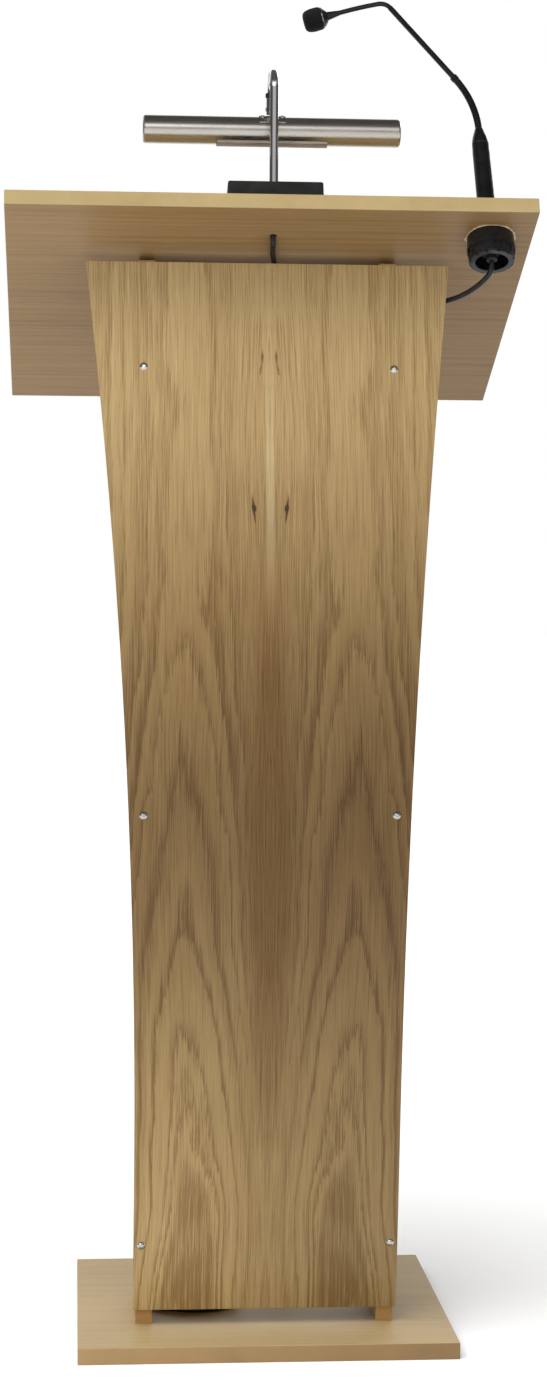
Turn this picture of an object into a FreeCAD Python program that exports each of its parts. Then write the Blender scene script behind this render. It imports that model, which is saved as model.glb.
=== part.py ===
"""Presentation lectern: bowed oak front on two fins, sloping reading board, lamp and gooseneck microphone.

The frame stands on the floor at z = 0, the audience side faces -Y and the speaker's side +Y.
The origin is the middle of the lectern's footprint, seen from above.
"""
import FreeCAD, Part
import math
import os

import Sketcher
from FreeCAD import Matrix, Placement, Rotation, Vector

doc = FreeCAD.newDocument("lectern")
sheet = doc.addObject("Spreadsheet::Sheet", "dims")

X, Z = Vector(1, 0, 0), Vector(0, 0, 1)


# ---------------------------------------------------------------- driving dimensions

class Dim:
    """A size that knows its value and the spreadsheet expression that gives it."""

    def __init__(self, value, text=None):
        self.value = float(value)
        self.text = text if text else repr(float(value))

    def join(self, sign, other, value, swap=False):
        other = as_dim(other)
        left, right = (other, self) if swap else (self, other)
        return Dim(value, f"({left.text} {sign} {right.text})")

    def __add__(self, other):
        return self.join("+", other, self.value + as_dim(other).value)

    def __sub__(self, other):
        return self.join("-", other, self.value - as_dim(other).value)

    def __mul__(self, other):
        return self.join("*", other, self.value * as_dim(other).value)

    def __truediv__(self, other):
        return self.join("/", other, self.value / as_dim(other).value)

    def __radd__(self, other):
        return self.join("+", other, as_dim(other).value + self.value, swap=True)

    def __rsub__(self, other):
        return self.join("-", other, as_dim(other).value - self.value, swap=True)

    def __rmul__(self, other):
        return self.join("*", other, as_dim(other).value * self.value, swap=True)

    def __neg__(self):
        return Dim(-self.value, f"(-{self.text})")

    def __float__(self):
        return self.value


def as_dim(x):
    return x if isinstance(x, Dim) else Dim(x)


def size(name, value):
    """Puts one driving dimension into the next row of the sheet."""
    size.row += 1
    sheet.set(f"A{size.row}", name)
    sheet.set(f"B{size.row}", str(value))
    sheet.setAlias(f"B{size.row}", name)
    return Dim(value, f"dims.{name}")


size.row = 0

board_thick = size("board_thick", 19)        # veneered board, used for every flat part
tilt = size("tilt", 24)                      # slope of the reading board, degrees
top_wide = size("top_wide", 600)
top_deep = size("top_deep", 450)
top_front_up = size("top_front_up", 1290)    # lower front edge of the reading board above the floor
top_setback = size("top_setback", 40)        # that edge behind the front of the base
stop_high = size("stop_high", 8)
stop_deep = size("stop_deep", 12)
base_wide = size("base_wide", 430)
base_deep = size("base_deep", 395)
edge_round = size("edge_round", 1)
fin_spread = size("fin_spread", 139)         # middle of each fin from the middle of the lectern
fin_foot_back = size("fin_foot_back", 96)    # front edge of a fin at the base, behind the base's front
fin_head_back = size("fin_head_back", 134)   # the same at the reading board
fin_bow = size("fin_bow", 72)                # how far the front edge bows out between them
fin_notch_up = size("fin_notch_up", 1241.5)  # above this the front edge is set back
fin_notch_deep = size("fin_notch_deep", 14)
fin_deep = size("fin_deep", 90)
fin_shoe_back = size("fin_shoe_back", 205)
fin_shoe_up = size("fin_shoe_up", 122)
fin_flare_back = size("fin_flare_back", 320)
panel_thick = size("panel_thick", 5)
panel_half_top = size("panel_half_top", 209)
panel_half_low = size("panel_half_low", 151.5)
panel_low = size("panel_low", 37.5)
panel_high = size("panel_high", 1239)
panel_straight_up = size("panel_straight_up", 232)
panel_screw_out = size("panel_screw_out", 143)
screw_head_r = size("screw_head_r", 4.6)
screw_shank_r = size("screw_shank_r", 2)
rail_high = size("rail_high", 60)
bracket_leg = size("bracket_leg", 30)
bracket_thick = size("bracket_thick", 2)
lamp_x = size("lamp_x", 4)
block_wide = size("block_wide", 108)
block_deep = size("block_deep", 60)
block_high = size("block_high", 24)
block_setback = size("block_setback", 12)
pad_thick = size("pad_thick", 1)
neck_r = size("neck_r", 5)
neck_bend_r = size("neck_bend_r", 18)
shade_r = size("shade_r", 16)
shade_wall = size("shade_wall", 1)
shade_long = size("shade_long", 296)
shade_up = size("shade_up", 1391.5)
shade_cap = size("shade_cap", 4)
window_long = size("window_long", 128)
bush_r = size("bush_r", 7.5)
knuckle_r = size("knuckle_r", 6.4)
hinge_up = size("hinge_up", 1416)
hinge_r = size("hinge_r", 1.75)
hinge_clear = size("hinge_clear", 0.05)
lug_thick = size("lug_thick", 5)
mount_x = size("mount_x", 251.5)
mount_back = size("mount_back", 55)          # along the slope from the front edge
cup_r = size("cup_r", 27)
cup_wall = size("cup_wall", 2.5)
cup_drop = size("cup_drop", 18)
nut_high = size("nut_high", 14)
window_wide = size("window_wide", 10.2)        # recesses between the nut's ribs
window_deep = size("window_deep", 1.9)
mouth_r = size("mouth_r", 19)
insert_r = size("insert_r", 13)
flange_r = size("flange_r", 20.5)
mic_base_r = size("mic_base_r", 10.2)
mic_shell_r = size("mic_shell_r", 9.6)
mic_lean = size("mic_lean", 1.8)             # the rubber lets the microphone lean to its left
mic_turn = size("mic_turn", 12)              # the plane that the gooseneck is bent in
low_flex_r = size("low_flex_r", 4.1)
low_flex_long = size("low_flex_long", 78.3)
low_flex_bend = size("low_flex_bend", 31.8)
arm_r = size("arm_r", 3.25)
arm_long = size("arm_long", 131.4)
top_flex_r = size("top_flex_r", 2.8)
top_flex_tight = size("top_flex_tight", 61.6)
top_flex_tight_r = size("top_flex_tight_r", 16)
top_flex_long = size("top_flex_long", 46.9)
top_flex_bend = size("top_flex_bend", 6.3)
head_r = size("head_r", 13.8)
mic_cable_d = size("mic_cable_d", 6.3)
lamp_lead_d = size("lamp_lead_d", 6)


# ---------------------------------------------------------------- places

TILT = math.radians(tilt.value)
SLOPE = Vector(0, math.cos(TILT), -math.sin(TILT))      # down the reading board, to the speaker
NORMAL = Vector(0, math.sin(TILT), math.cos(TILT))      # out of its top face
FRONT_Y = -(
    top_setback.value
    + top_deep.value * math.cos(TILT)
    + (board_thick.value + stop_high.value) * math.sin(TILT)
) / 2                                                   # front of the base, so the footprint is centred
TOP_EDGE = Vector(0, FRONT_Y + top_setback.value, top_front_up.value)
ON_BOARD = Placement(TOP_EDGE, Rotation(X, -tilt.value))


def board_point(x, down, out):
    """A point given across, down the slope and out from the underside of the reading board."""
    return TOP_EDGE + X * float(x) + SLOPE * float(down) + NORMAL * float(out)


def underside_up(y):
    """Height of the reading board's underside at y."""
    return TOP_EDGE.z - (y - TOP_EDGE.y) * math.tan(TILT)


def on_board(x, down, out):
    return Placement(board_point(x, down, out), ON_BOARD.Rotation)


def frame_of(origin, x_dir, z_dir):
    """A Placement with the given local x and z directions."""
    y_dir = z_dir.cross(x_dir)
    m = Matrix(
        x_dir.x, y_dir.x, z_dir.x, origin.x,
        x_dir.y, y_dir.y, z_dir.y, origin.y,
        x_dir.z, y_dir.z, z_dir.z, origin.z,
    )
    return Placement(m)


# ---------------------------------------------------------------- ways to build a piece

made = []


def piece(obj, name, placement=None):
    """Names a finished sub-part and puts it in its place."""
    obj.Label = name
    if placement is not None:
        obj.Placement = placement
    made.append(obj)
    return obj


def helper(kind, **sizes):
    """A Part primitive with its sizes bound to the sheet."""
    obj = doc.addObject(f"Part::{kind}", kind)
    for key, value in sizes.items():
        value = as_dim(value)
        setattr(obj, key, value.value)
        obj.setExpression(key, value.text)
    return obj


def moved(obj, x=0, y=0, z=0, axis=Z, angle=0):
    obj.Placement = Placement(Vector(float(x), float(y), float(z)), Rotation(axis, angle))
    return obj


def cylinder(r, high, x=0, y=0, z=0, axis=Z, angle=0):
    return moved(helper("Cylinder", Radius=r, Height=high), x, y, z, axis, angle)


def cone(r1, r2, high, x=0, y=0, z=0, axis=Z, angle=0):
    return moved(helper("Cone", Radius1=r1, Radius2=r2, Height=high), x, y, z, axis, angle)


def block(wide, deep, high, x=0, y=0, z=0):
    return moved(helper("Box", Length=wide, Width=deep, Height=high), x, y, z)


def cut(base, *tools):
    for tool in tools:
        result = doc.addObject("Part::Cut", "cut")
        result.Base, result.Tool = base, tool
        base = result
    return base


def fuse(*shapes):
    result = doc.addObject("Part::MultiFuse", "fuse")
    result.Shapes = list(shapes)
    return result


def common(base, tool):
    result = doc.addObject("Part::Common", "common")
    result.Base, result.Tool = base, tool
    return result


def group(name, shapes, placement=None):
    """Identical fasteners share one sub-part, as separate solids."""
    result = doc.addObject("Part::Compound", name)
    result.Links = shapes
    return piece(result, name, placement)


def new_body(name):
    return doc.addObject("PartDesign::Body", name)


def plane_of(body, role):
    return next(f for f in body.Origin.OriginFeatures if f.Role == role)


def new_sketch(body, role):
    sketch = body.newObject("Sketcher::SketchObject", body.Name + "_sketch")
    sketch.AttachmentSupport = [(plane_of(body, role), "")]
    sketch.MapMode = "FlatFace"
    return sketch


def bind_point(sketch, geo, end, value, kind):
    """Ties one coordinate of a corner to the sheet."""
    if value.value == 0:
        sketch.addConstraint(Sketcher.Constraint("PointOnObject", geo, end, -2 if kind == "DistanceX" else -1))
        return
    if value.value > 0:
        made_at = sketch.addConstraint(Sketcher.Constraint(kind, -1, 1, geo, end, value.value))
        sketch.setExpression(f"Constraints[{made_at}]", value.text)
    else:
        made_at = sketch.addConstraint(Sketcher.Constraint(kind, geo, end, -1, 1, -value.value))
        sketch.setExpression(f"Constraints[{made_at}]", f"-{value.text}")


def arc_between(a, b, radius):
    """An arc from a to b; a positive radius bulges to the left of the way from a to b."""
    half = (b - a) / 2
    rise = math.sqrt(radius ** 2 - half.Length ** 2)
    left = Vector(-half.y, half.x, 0).normalize()
    side = 1 if radius > 0 else -1
    centre = a + half - left * rise * side
    middle = centre + left * abs(radius) * side
    return Part.Arc(a, middle, b)


def outline(sketch, corners):
    """A closed loop. Each corner is (x, y), or (x, y, radius) when an arc leads on from it."""
    points = [Vector(float(as_dim(c[0])), float(as_dim(c[1])), 0) for c in corners]
    edges = []
    for i, corner in enumerate(corners):
        a, b = points[i], points[(i + 1) % len(points)]
        is_arc = len(corner) == 3
        curve = arc_between(a, b, corner[2].value) if is_arc else Part.LineSegment(a, b)
        at = sketch.addGeometry(curve, False)
        swapped = is_arc and (sketch.getPoint(at, 1) - a).Length > 1e-6
        edges.append((at, (2, 1) if swapped else (1, 2)))
        if is_arc:
            made_at = sketch.addConstraint(Sketcher.Constraint("Radius", at, abs(corner[2].value)))
            sketch.setExpression(f"Constraints[{made_at}]", f"abs({corner[2].text})")
    for i, (at, (start, end)) in enumerate(edges):
        after, (after_start, _) = edges[(i + 1) % len(edges)]
        sketch.addConstraint(Sketcher.Constraint("Coincident", at, end, after, after_start))
    for (at, (start, _)), corner in zip(edges, corners):
        bind_point(sketch, at, start, as_dim(corner[0]), "DistanceX")
        bind_point(sketch, at, start, as_dim(corner[1]), "DistanceY")


def circle(sketch, x, y, r):
    at = sketch.addGeometry(Part.Circle(Vector(float(x), float(y), 0), Z, float(r)), False)
    bind_point(sketch, at, 3, as_dim(x), "DistanceX")
    bind_point(sketch, at, 3, as_dim(y), "DistanceY")
    made_at = sketch.addConstraint(Sketcher.Constraint("Radius", at, float(r)))
    sketch.setExpression(f"Constraints[{made_at}]", as_dim(r).text)


def feature(body, kind, sketch, length, midplane=False, reverse=False):
    result = body.newObject(f"PartDesign::{kind}", body.Name + "_" + kind.lower())
    result.Profile = sketch
    result.Length = float(length)
    result.setExpression("Length", as_dim(length).text)
    result.SideType = "Symmetric" if midplane else "One side"
    result.Reversed = reverse
    return result


def slab(name, role, corners, thick, midplane=False, placement=None, holes=(), reverse=False):
    """A flat sub-part: one padded outline, with round holes given as (x, y, r)."""
    body = new_body(name)
    sketch = new_sketch(body, role)
    outline(sketch, corners)
    for hole in holes:
        circle(sketch, *hole)
    feature(body, "Pad", sketch, thick, midplane, reverse)
    return piece(body, name, placement)


def soften(body, radius, wanted):
    """Rounds the edges of a body's last feature that wanted(edge) picks."""
    doc.recompute()
    base = body.Tip
    names = [f"Edge{i + 1}" for i, edge in enumerate(base.Shape.Edges) if wanted(edge)]
    result = body.newObject("PartDesign::Fillet", body.Name + "_round")
    result.Base = (base, names)
    result.Radius = radius.value
    result.setExpression("Radius", radius.text)
    return result


def turned(name, corners, placement=None, listed=True):
    """A round sub-part: the half outline (r, z) turned about the local z axis."""
    body = new_body(name)
    sketch = new_sketch(body, "XZ_Plane")
    outline(sketch, corners)
    spin = body.newObject("PartDesign::Revolution", body.Name + "_spin")
    spin.Profile = sketch
    spin.ReferenceAxis = (sketch, ["V_Axis"])
    spin.Angle = 360
    if not listed:
        return moved_to(body, placement)
    return piece(body, name, placement)


def moved_to(obj, placement):
    if placement is not None:
        obj.Placement = placement
    return obj


def swept(name, radius, edges, placement=None, bore=None):
    """A round bar or tube along straight runs and tangent arcs."""
    spine = doc.addObject("Part::Feature", name + "_line")
    spine.Shape = Part.Wire(edges)
    start = edges[0].valueAt(edges[0].FirstParameter)
    ahead = edges[0].tangentAt(edges[0].FirstParameter)
    facing = Rotation(Z, ahead)

    def along(r):
        ring = doc.addObject("Part::Circle", name + "_ring")
        ring.Radius = float(r)
        ring.setExpression("Radius", as_dim(r).text)
        ring.Placement = Placement(start, facing)
        sweep = doc.addObject("Part::Sweep", name + "_sweep")
        sweep.Sections = [ring]
        sweep.Spine = (spine, [f"Edge{i + 1}" for i in range(len(edges))])
        sweep.Solid = True
        return sweep

    bar = along(radius)
    return piece(cut(bar, along(bore)) if bore else bar, name, placement)


def line(a, b):
    return Part.LineSegment(a, b).toShape()


def arc(a, middle, b):
    return Part.Arc(a, middle, b).toShape()


# ---------------------------------------------------------------- boards

def long_edges(edge):
    return edge.Length > 10


def base_board():
    half = base_wide / 2
    body = slab(
        "base_board", "XY_Plane",
        [(-half, 0), (half, 0), (half, base_deep), (-half, base_deep)],
        board_thick, placement=Placement(Vector(0, FRONT_Y, 0), Rotation()),
    )
    soften(body, edge_round, long_edges)


def reading_board():
    half = top_wide / 2
    body = slab(
        "reading_board", "XY_Plane",
        [(-half, 0), (half, 0), (half, top_deep), (-half, top_deep)],
        board_thick, placement=ON_BOARD,
        holes=[(mount_x, mount_back, cup_r + 0.3), (lamp_x - 1, LEAD_BACK, lamp_lead_d / 2 + 0.7)],
    )
    soften(body, edge_round, long_edges)


def page_stop():
    """The lip along the speaker's edge that keeps papers on the slope."""
    half = top_wide / 2
    body = slab(
        "page_stop", "YZ_Plane",
        [(top_deep - stop_deep, board_thick), (top_deep, board_thick),
         (top_deep, board_thick + stop_high), (top_deep - stop_deep, board_thick + stop_high)],
        top_wide, midplane=True, placement=ON_BOARD,
    )
    soften(body, edge_round, lambda e: abs(e.BoundBox.ZMax - board_thick.value - stop_high.value) < 0.1)


LEAD_BACK = size("lead_back", 58.8)


class Bow:
    """The arc of the fins' front edge, in the Y-Z plane."""

    low = Vector(0, FRONT_Y + fin_foot_back.value, board_thick.value)
    high = Vector(0, FRONT_Y + fin_head_back.value, underside_up(FRONT_Y + fin_head_back.value))
    half = (high - low).Length / 2
    radius = half ** 2 / (2 * fin_bow.value) + fin_bow.value / 2
    along = (high - low).normalize()
    out = Vector(0, -along.z, along.y)
    centre = (low + high) / 2 - out * (radius - fin_bow.value)

    @classmethod
    def y_at(cls, z, offset=0.0):
        """The y of the arc, moved out by offset, at height z."""
        r = cls.radius + offset
        return cls.centre.y - math.sqrt(r ** 2 - (z - cls.centre.z) ** 2)


BOW_R = size("bow_r", round(Bow.radius, 3))


def fin(name, side, holes=()):
    """One upright: bowed front edge set back above the panel, parallel back edge, a shoe and a flare."""
    neck_low, neck_high = 165.0, 940.0
    flare_up = underside_up(FRONT_Y + fin_flare_back.value)
    flare_nose = size(f"{name}_flare_nose", 25)
    y = lambda z, offset=0.0: round(Bow.y_at(z, offset) - FRONT_Y, 3)
    notch_back = round(y(fin_notch_up.value) + fin_notch_deep.value, 3)
    corners = [
        (fin_foot_back, board_thick, BOW_R),
        (y(fin_notch_up.value), fin_notch_up),
        (notch_back, fin_notch_up),
        (notch_back, round(underside_up(FRONT_Y + notch_back), 3)),
        (fin_flare_back, round(flare_up, 3)),
        (fin_flare_back, round(flare_up, 3) - flare_nose, Dim(280)),
        (y(neck_high, -fin_deep.value), neck_high, Dim(-(Bow.radius - fin_deep.value))),
        (y(neck_low, -fin_deep.value), neck_low, Dim(60)),
        (fin_shoe_back - 26, fin_shoe_up),
        (fin_shoe_back, fin_shoe_up),
        (fin_shoe_back, board_thick),
    ]
    slab(
        name, "YZ_Plane", corners, board_thick, midplane=True,
        placement=Placement(Vector(side * fin_spread.value, FRONT_Y, 0), Rotation()), holes=holes,
    )


def front_panel():
    """Thin board bent over the fins' front edges, with waisted sides."""
    body = new_body("front_panel")
    sketch = new_sketch(body, "YZ_Plane")
    low, high = panel_low.value, panel_high.value
    y = lambda z, offset: round(Bow.y_at(z, offset), 3)
    outline(sketch, [
        (y(low, 0), panel_low, BOW_R),
        (y(high, 0), panel_high),
        (y(high, panel_thick.value), panel_high, -(BOW_R + panel_thick)),
        (y(low, panel_thick.value), panel_low),
    ])
    feature(body, "Pad", sketch, panel_half_top * 2, midplane=True)
    doc.recompute()
    climb = panel_high - panel_straight_up
    widen = panel_half_top - panel_half_low
    side_r = (climb * climb / widen + widen) / 2
    waste = new_sketch(body, "XZ_Plane")
    for side in (1, -1):
        outline(waste, [
            (side * panel_half_low, panel_low - 10),
            (side * panel_half_low, panel_straight_up, side_r * side),
            (side * panel_half_top, panel_high),
            (side * panel_half_top, panel_high + 10),
            (side * (panel_half_top + 20), panel_high + 10),
            (side * (panel_half_top + 20), panel_low - 10),
        ])
    pocket = body.newObject("PartDesign::Pocket", "front_panel_sides")
    pocket.Profile = waste
    pocket.SideType = "Symmetric"
    pocket.Length = 600
    piece(body, "front_panel")


GROMMET_Y, GROMMET_Z = -66.0, 1184.0
SCREW_UPS = [115.5, 611, 1117.5]


def bow_facing(side, z):
    """Where a panel screw goes in, with its local z pointing out of the panel."""
    y = Bow.y_at(z, panel_thick.value)
    point = Vector(side * panel_screw_out.value, y, z)
    out = (point - Vector(point.x, Bow.centre.y, Bow.centre.z)).normalize()
    return frame_of(point, X, out)


def dome_screw(placement, long=28.0):
    """A raised-head screw, local z out of the head, head's underside at z = 0."""
    dome = common(
        helper("Sphere", Radius=screw_head_r * 1.25),
        cylinder(screw_head_r, 20, z=Dim(screw_head_r.value * 0.72)),
    )
    dome.Placement = Placement(Vector(0, 0, -screw_head_r.value * 0.72), Rotation())
    recess = cylinder(screw_head_r * 0.4, 4, z=1.1)
    shank = cylinder(screw_shank_r, long, z=-long)
    return moved_to(fuse(cut(dome, recess), shank), placement)


def flat_screw(placement, r=4.0, long=30.0):
    """A countersunk screw, local z out of the head, head flush at z = 0."""
    head = cone(screw_shank_r, r, r - 2.0, z=-(r - 2.0))
    slot_a = block(r * 1.1, 0.9, 1.2, x=-r * 0.55, y=-0.45, z=-1.0)
    slot_b = block(0.9, r * 1.1, 1.2, x=-0.45, y=-r * 0.55, z=-1.0)
    shank = cylinder(screw_shank_r, long, z=-long)
    return moved_to(fuse(cut(head, slot_a, slot_b), shank), placement)


def rails():
    half = fin_spread - board_thick / 2
    high = rail_high
    slab(
        "low_rail", "XZ_Plane",
        [(-half, 200), (half, 200), (half, 200 + high), (-half, 200 + high)], board_thick,
        placement=Placement(Vector(0, FRONT_Y + 126, 0), Rotation()), reverse=True,
    )
    slab(
        "top_rail", "XZ_Plane",
        [(-half, -high), (half, -high), (half, 0), (-half, 0)], board_thick,
        placement=on_board(0, 236, 0), reverse=True,
    )


def angle_brackets():
    """Four steel angles between the fins and the reading board, with a screw through each leg."""
    inner = fin_spread.value - board_thick.value / 2
    leg, thick, wide = bracket_leg, bracket_thick, 22
    brackets, screws = [], []
    for down in (130, 255):
        for side in (-1, 1):
            upright = block(thick, wide, leg, z=-leg)
            flat = block(leg, wide, thick, z=-thick)
            angle = fuse(upright, flat)
            angle.Placement = (
                on_board(side * inner, down + (wide if side > 0 else 0), 0).multiply(
                    Placement(Vector(), Rotation(Z, 180 if side > 0 else 0)))
            )
            brackets.append(angle)
            middle = down + wide / 2
            into_board = frame_of(board_point(side * (inner - 19), middle, -thick.value), X, NORMAL * -1)
            into_fin = frame_of(
                board_point(side * (inner - thick.value), middle, -19), SLOPE, X * -side)
            screws += [flat_screw(into_board, 3.2, 14.0), flat_screw(into_fin, 3.2, 14.0)]
    group("angle_brackets", brackets)
    group("bracket_screws", screws)


def frame_screws():
    """Countersunk screws up through the base into the fins, and through the fins into the rails."""
    up = []
    for side in (-1, 1):
        for back in (fin_foot_back.value + 18, fin_shoe_back.value - 22):
            at = Vector(side * fin_spread.value, FRONT_Y + back, 0)
            up.append(flat_screw(frame_of(at, X, Z * -1), 4.5, 45.0))
    group("base_screws", up)
    across = []
    outer = fin_spread.value + board_thick.value / 2
    for side in (-1, 1):
        for z in (215, 245):
            at = Vector(side * outer, FRONT_Y + 135.5, z)
            across.append(flat_screw(frame_of(at, Vector(0, 1, 0), X * side), 4.0, 45.0))
        for drop in (-15, -45):
            at = board_point(side * outer, 245.5, drop)
            across.append(flat_screw(frame_of(at, SLOPE, X * side), 4.0, 45.0))
    group("rail_screws", across)


# ---------------------------------------------------------------- lamp

def lamp_block():
    half = block_wide / 2
    body = slab(
        "lamp_block", "XY_Plane",
        [(-half, 0), (half, 0), (half, block_deep), (-half, block_deep)],
        block_high, placement=on_board(lamp_x, block_setback, board_thick + pad_thick),
    )
    soften(body, Dim(2.5), lambda e: e.BoundBox.ZMax > block_high.value - 0.1 or e.BoundBox.ZLength > 10)
    sketch = new_sketch(body, "XY_Plane")
    circle(sketch, 0, NECK_BACK - block_setback, neck_r + 0.05)
    feature(body, "Pocket", sketch, block_high + 1, reverse=True)
    switch = new_sketch(body, "XY_Plane")
    outline(switch, [
        (SWITCH_X - 7, SWITCH_BACK - 11), (SWITCH_X + 7, SWITCH_BACK - 11),
        (SWITCH_X + 7, SWITCH_BACK + 11), (SWITCH_X - 7, SWITCH_BACK + 11),
    ])
    feature(body, "Pocket", switch, block_high + 1, reverse=True)
    lead = new_sketch(body, "XY_Plane")
    circle(lead, -1, LEAD_BACK - block_setback, lamp_lead_d / 2 + 0.5)
    feature(body, "Pocket", lead, 14, reverse=True)
    body.Placement = on_board(lamp_x, block_setback, board_thick + pad_thick)


NECK_BACK = size("neck_back", 42)
SWITCH_X = size("switch_x", 34)
SWITCH_BACK = size("switch_back", 30)


def lamp_pad():
    half = block_wide / 2 - 1
    slab(
        "lamp_pad", "XY_Plane",
        [(-half, 1), (half, 1), (half, block_deep - 1), (-half, block_deep - 1)], pad_thick,
        placement=on_board(lamp_x, block_setback, board_thick),
        holes=[(-1, LEAD_BACK - block_setback, lamp_lead_d / 2 + 0.5)],
    )


class Neck:
    """The swan neck's line: out of the block, upright, and over to the shade."""

    foot = board_point(lamp_x, NECK_BACK, board_thick + pad_thick + block_high + 6)
    start = foot - NORMAL * 24
    foot_r = 25.0
    upright_y = foot.y + foot_r * (1 - math.cos(TILT))
    upright_z = foot.z + foot_r * math.sin(TILT)
    back_y = upright_y + 2 * neck_bend_r.value
    bend_z = hinge_up.value + 19.7
    end_z = hinge_up.value + 18.7

    @classmethod
    def edges(cls):
        x = lamp_x.value
        half = TILT / 2
        mid_foot = Vector(
            x,
            cls.upright_y - cls.foot_r * (1 - math.cos(half)),
            cls.upright_z - cls.foot_r * math.sin(half),
        )
        corner = Vector(x, cls.upright_y, cls.upright_z)
        rise = Vector(x, cls.upright_y, cls.bend_z)
        over = Vector(x, cls.upright_y + neck_bend_r.value, cls.bend_z + neck_bend_r.value)
        down = Vector(x, cls.back_y, cls.bend_z)
        return [
            line(cls.start, cls.foot),
            arc(cls.foot, mid_foot, corner),
            line(corner, rise),
            arc(rise, over, down),
            line(down, Vector(x, cls.back_y, cls.end_z)),
        ]


def lamp_neck():
    swept("lamp_neck", neck_r, Neck.edges(), bore=neck_r - 1)
    turned(
        "neck_collar",
        [(neck_r + 0.05, 0), (9, 0), (9, 1.5), (7, 4), (neck_r + 0.05, 4)],
        frame_of(board_point(lamp_x, NECK_BACK, board_thick + pad_thick + block_high), X, NORMAL),
    )


HINGE = Vector(lamp_x.value, Neck.back_y, hinge_up.value)


def lamp_joint():
    """Friction bush under the neck, forked knuckle and its cross pin."""
    top = Vector(HINGE.x, HINGE.y, Neck.end_z)
    turned(
        "lamp_bush",
        [(0, -5.5), (bush_r - 0.8, -5.5), (bush_r, -4.7), (bush_r, -0.8), (bush_r - 0.8, 0), (0, 0)],
        Placement(top, Rotation()),
    )
    high = Neck.end_z - 5.5 - HINGE.z - 0.3
    stem = cylinder(knuckle_r, high)
    end = cylinder(knuckle_r - 0.4, 2 * knuckle_r + 2, x=-(knuckle_r.value + 1), axis=Vector(0, 1, 0), angle=90)
    ball = common(cylinder(knuckle_r, 2 * knuckle_r, z=-2 * knuckle_r), end)
    slot = block(lug_thick + 0.6, 20, 12.6, x=-(lug_thick.value + 0.6) / 2, y=-10, z=-7)
    hole = cylinder(hinge_r, 20, x=-10, axis=Vector(0, 1, 0), angle=90)
    knuckle = cut(fuse(stem, ball), slot, hole)
    piece(knuckle, "lamp_knuckle", Placement(HINGE, Rotation()))
    pin = fuse(
        cylinder(hinge_r, 2 * knuckle_r, x=-knuckle_r.value, axis=Vector(0, 1, 0), angle=90),
        cone(2.6, 1.9, 1.2, x=knuckle_r.value - 0.2, axis=Vector(0, 1, 0), angle=90),
        cone(1.9, 2.6, 1.2, x=-knuckle_r.value - 1.0, axis=Vector(0, 1, 0), angle=90),
    )
    piece(pin, "hinge_pin", Placement(HINGE, Rotation()))


SHADE = Vector(lamp_x.value, Neck.back_y, shade_up.value)
ACROSS = Rotation(Vector(0, 1, 0), 90)        # turns local z to +X



def lamp_saddle():
    """Curved plate on the shade with the hinge lug, and its two screws."""
    drop = hinge_up.value - shade_up.value
    outer, inner = shade_r + 1.5, shade_r + 0.02
    ring = cut(
        cylinder(outer, 30, x=-15, axis=Vector(0, 1, 0), angle=90),
        cylinder(inner, 32, x=-16, axis=Vector(0, 1, 0), angle=90),
    )
    keep = block(40, 31, 20, x=-20, y=-15.5, z=shade_r.value * 0.45)
    cap = common(ring, keep)
    lug = fuse(
        block(lug_thick, 9, drop - shade_r.value - 0.8, x=-lug_thick.value / 2, y=-4.5, z=shade_r.value + 0.8),
        cylinder(4.5, lug_thick, x=-lug_thick.value / 2, z=drop, axis=Vector(0, 1, 0), angle=90),
    )
    hole = cylinder(hinge_r + hinge_clear, 20, x=-10, z=drop, axis=Vector(0, 1, 0), angle=90)
    piece(cut(fuse(cap, lug), hole), "lamp_saddle", Placement(SHADE, Rotation()))
    screws = []
    for side in (-1, 1):
        turn = Rotation(X, 33)
        out = turn.multVec(Z)
        at = SHADE + X * (side * 11.3) + out * (shade_r.value + 1.5)
        head = cut(cone(2.3, 1.7, 1.3), block(4, 0.7, 0.7, x=-2, y=-0.35, z=0.8))
        screws.append(moved_to(fuse(head, cylinder(1.2, 2.4, z=-2.4)), frame_of(at, X, out)))
    group("saddle_screws", screws)


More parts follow.
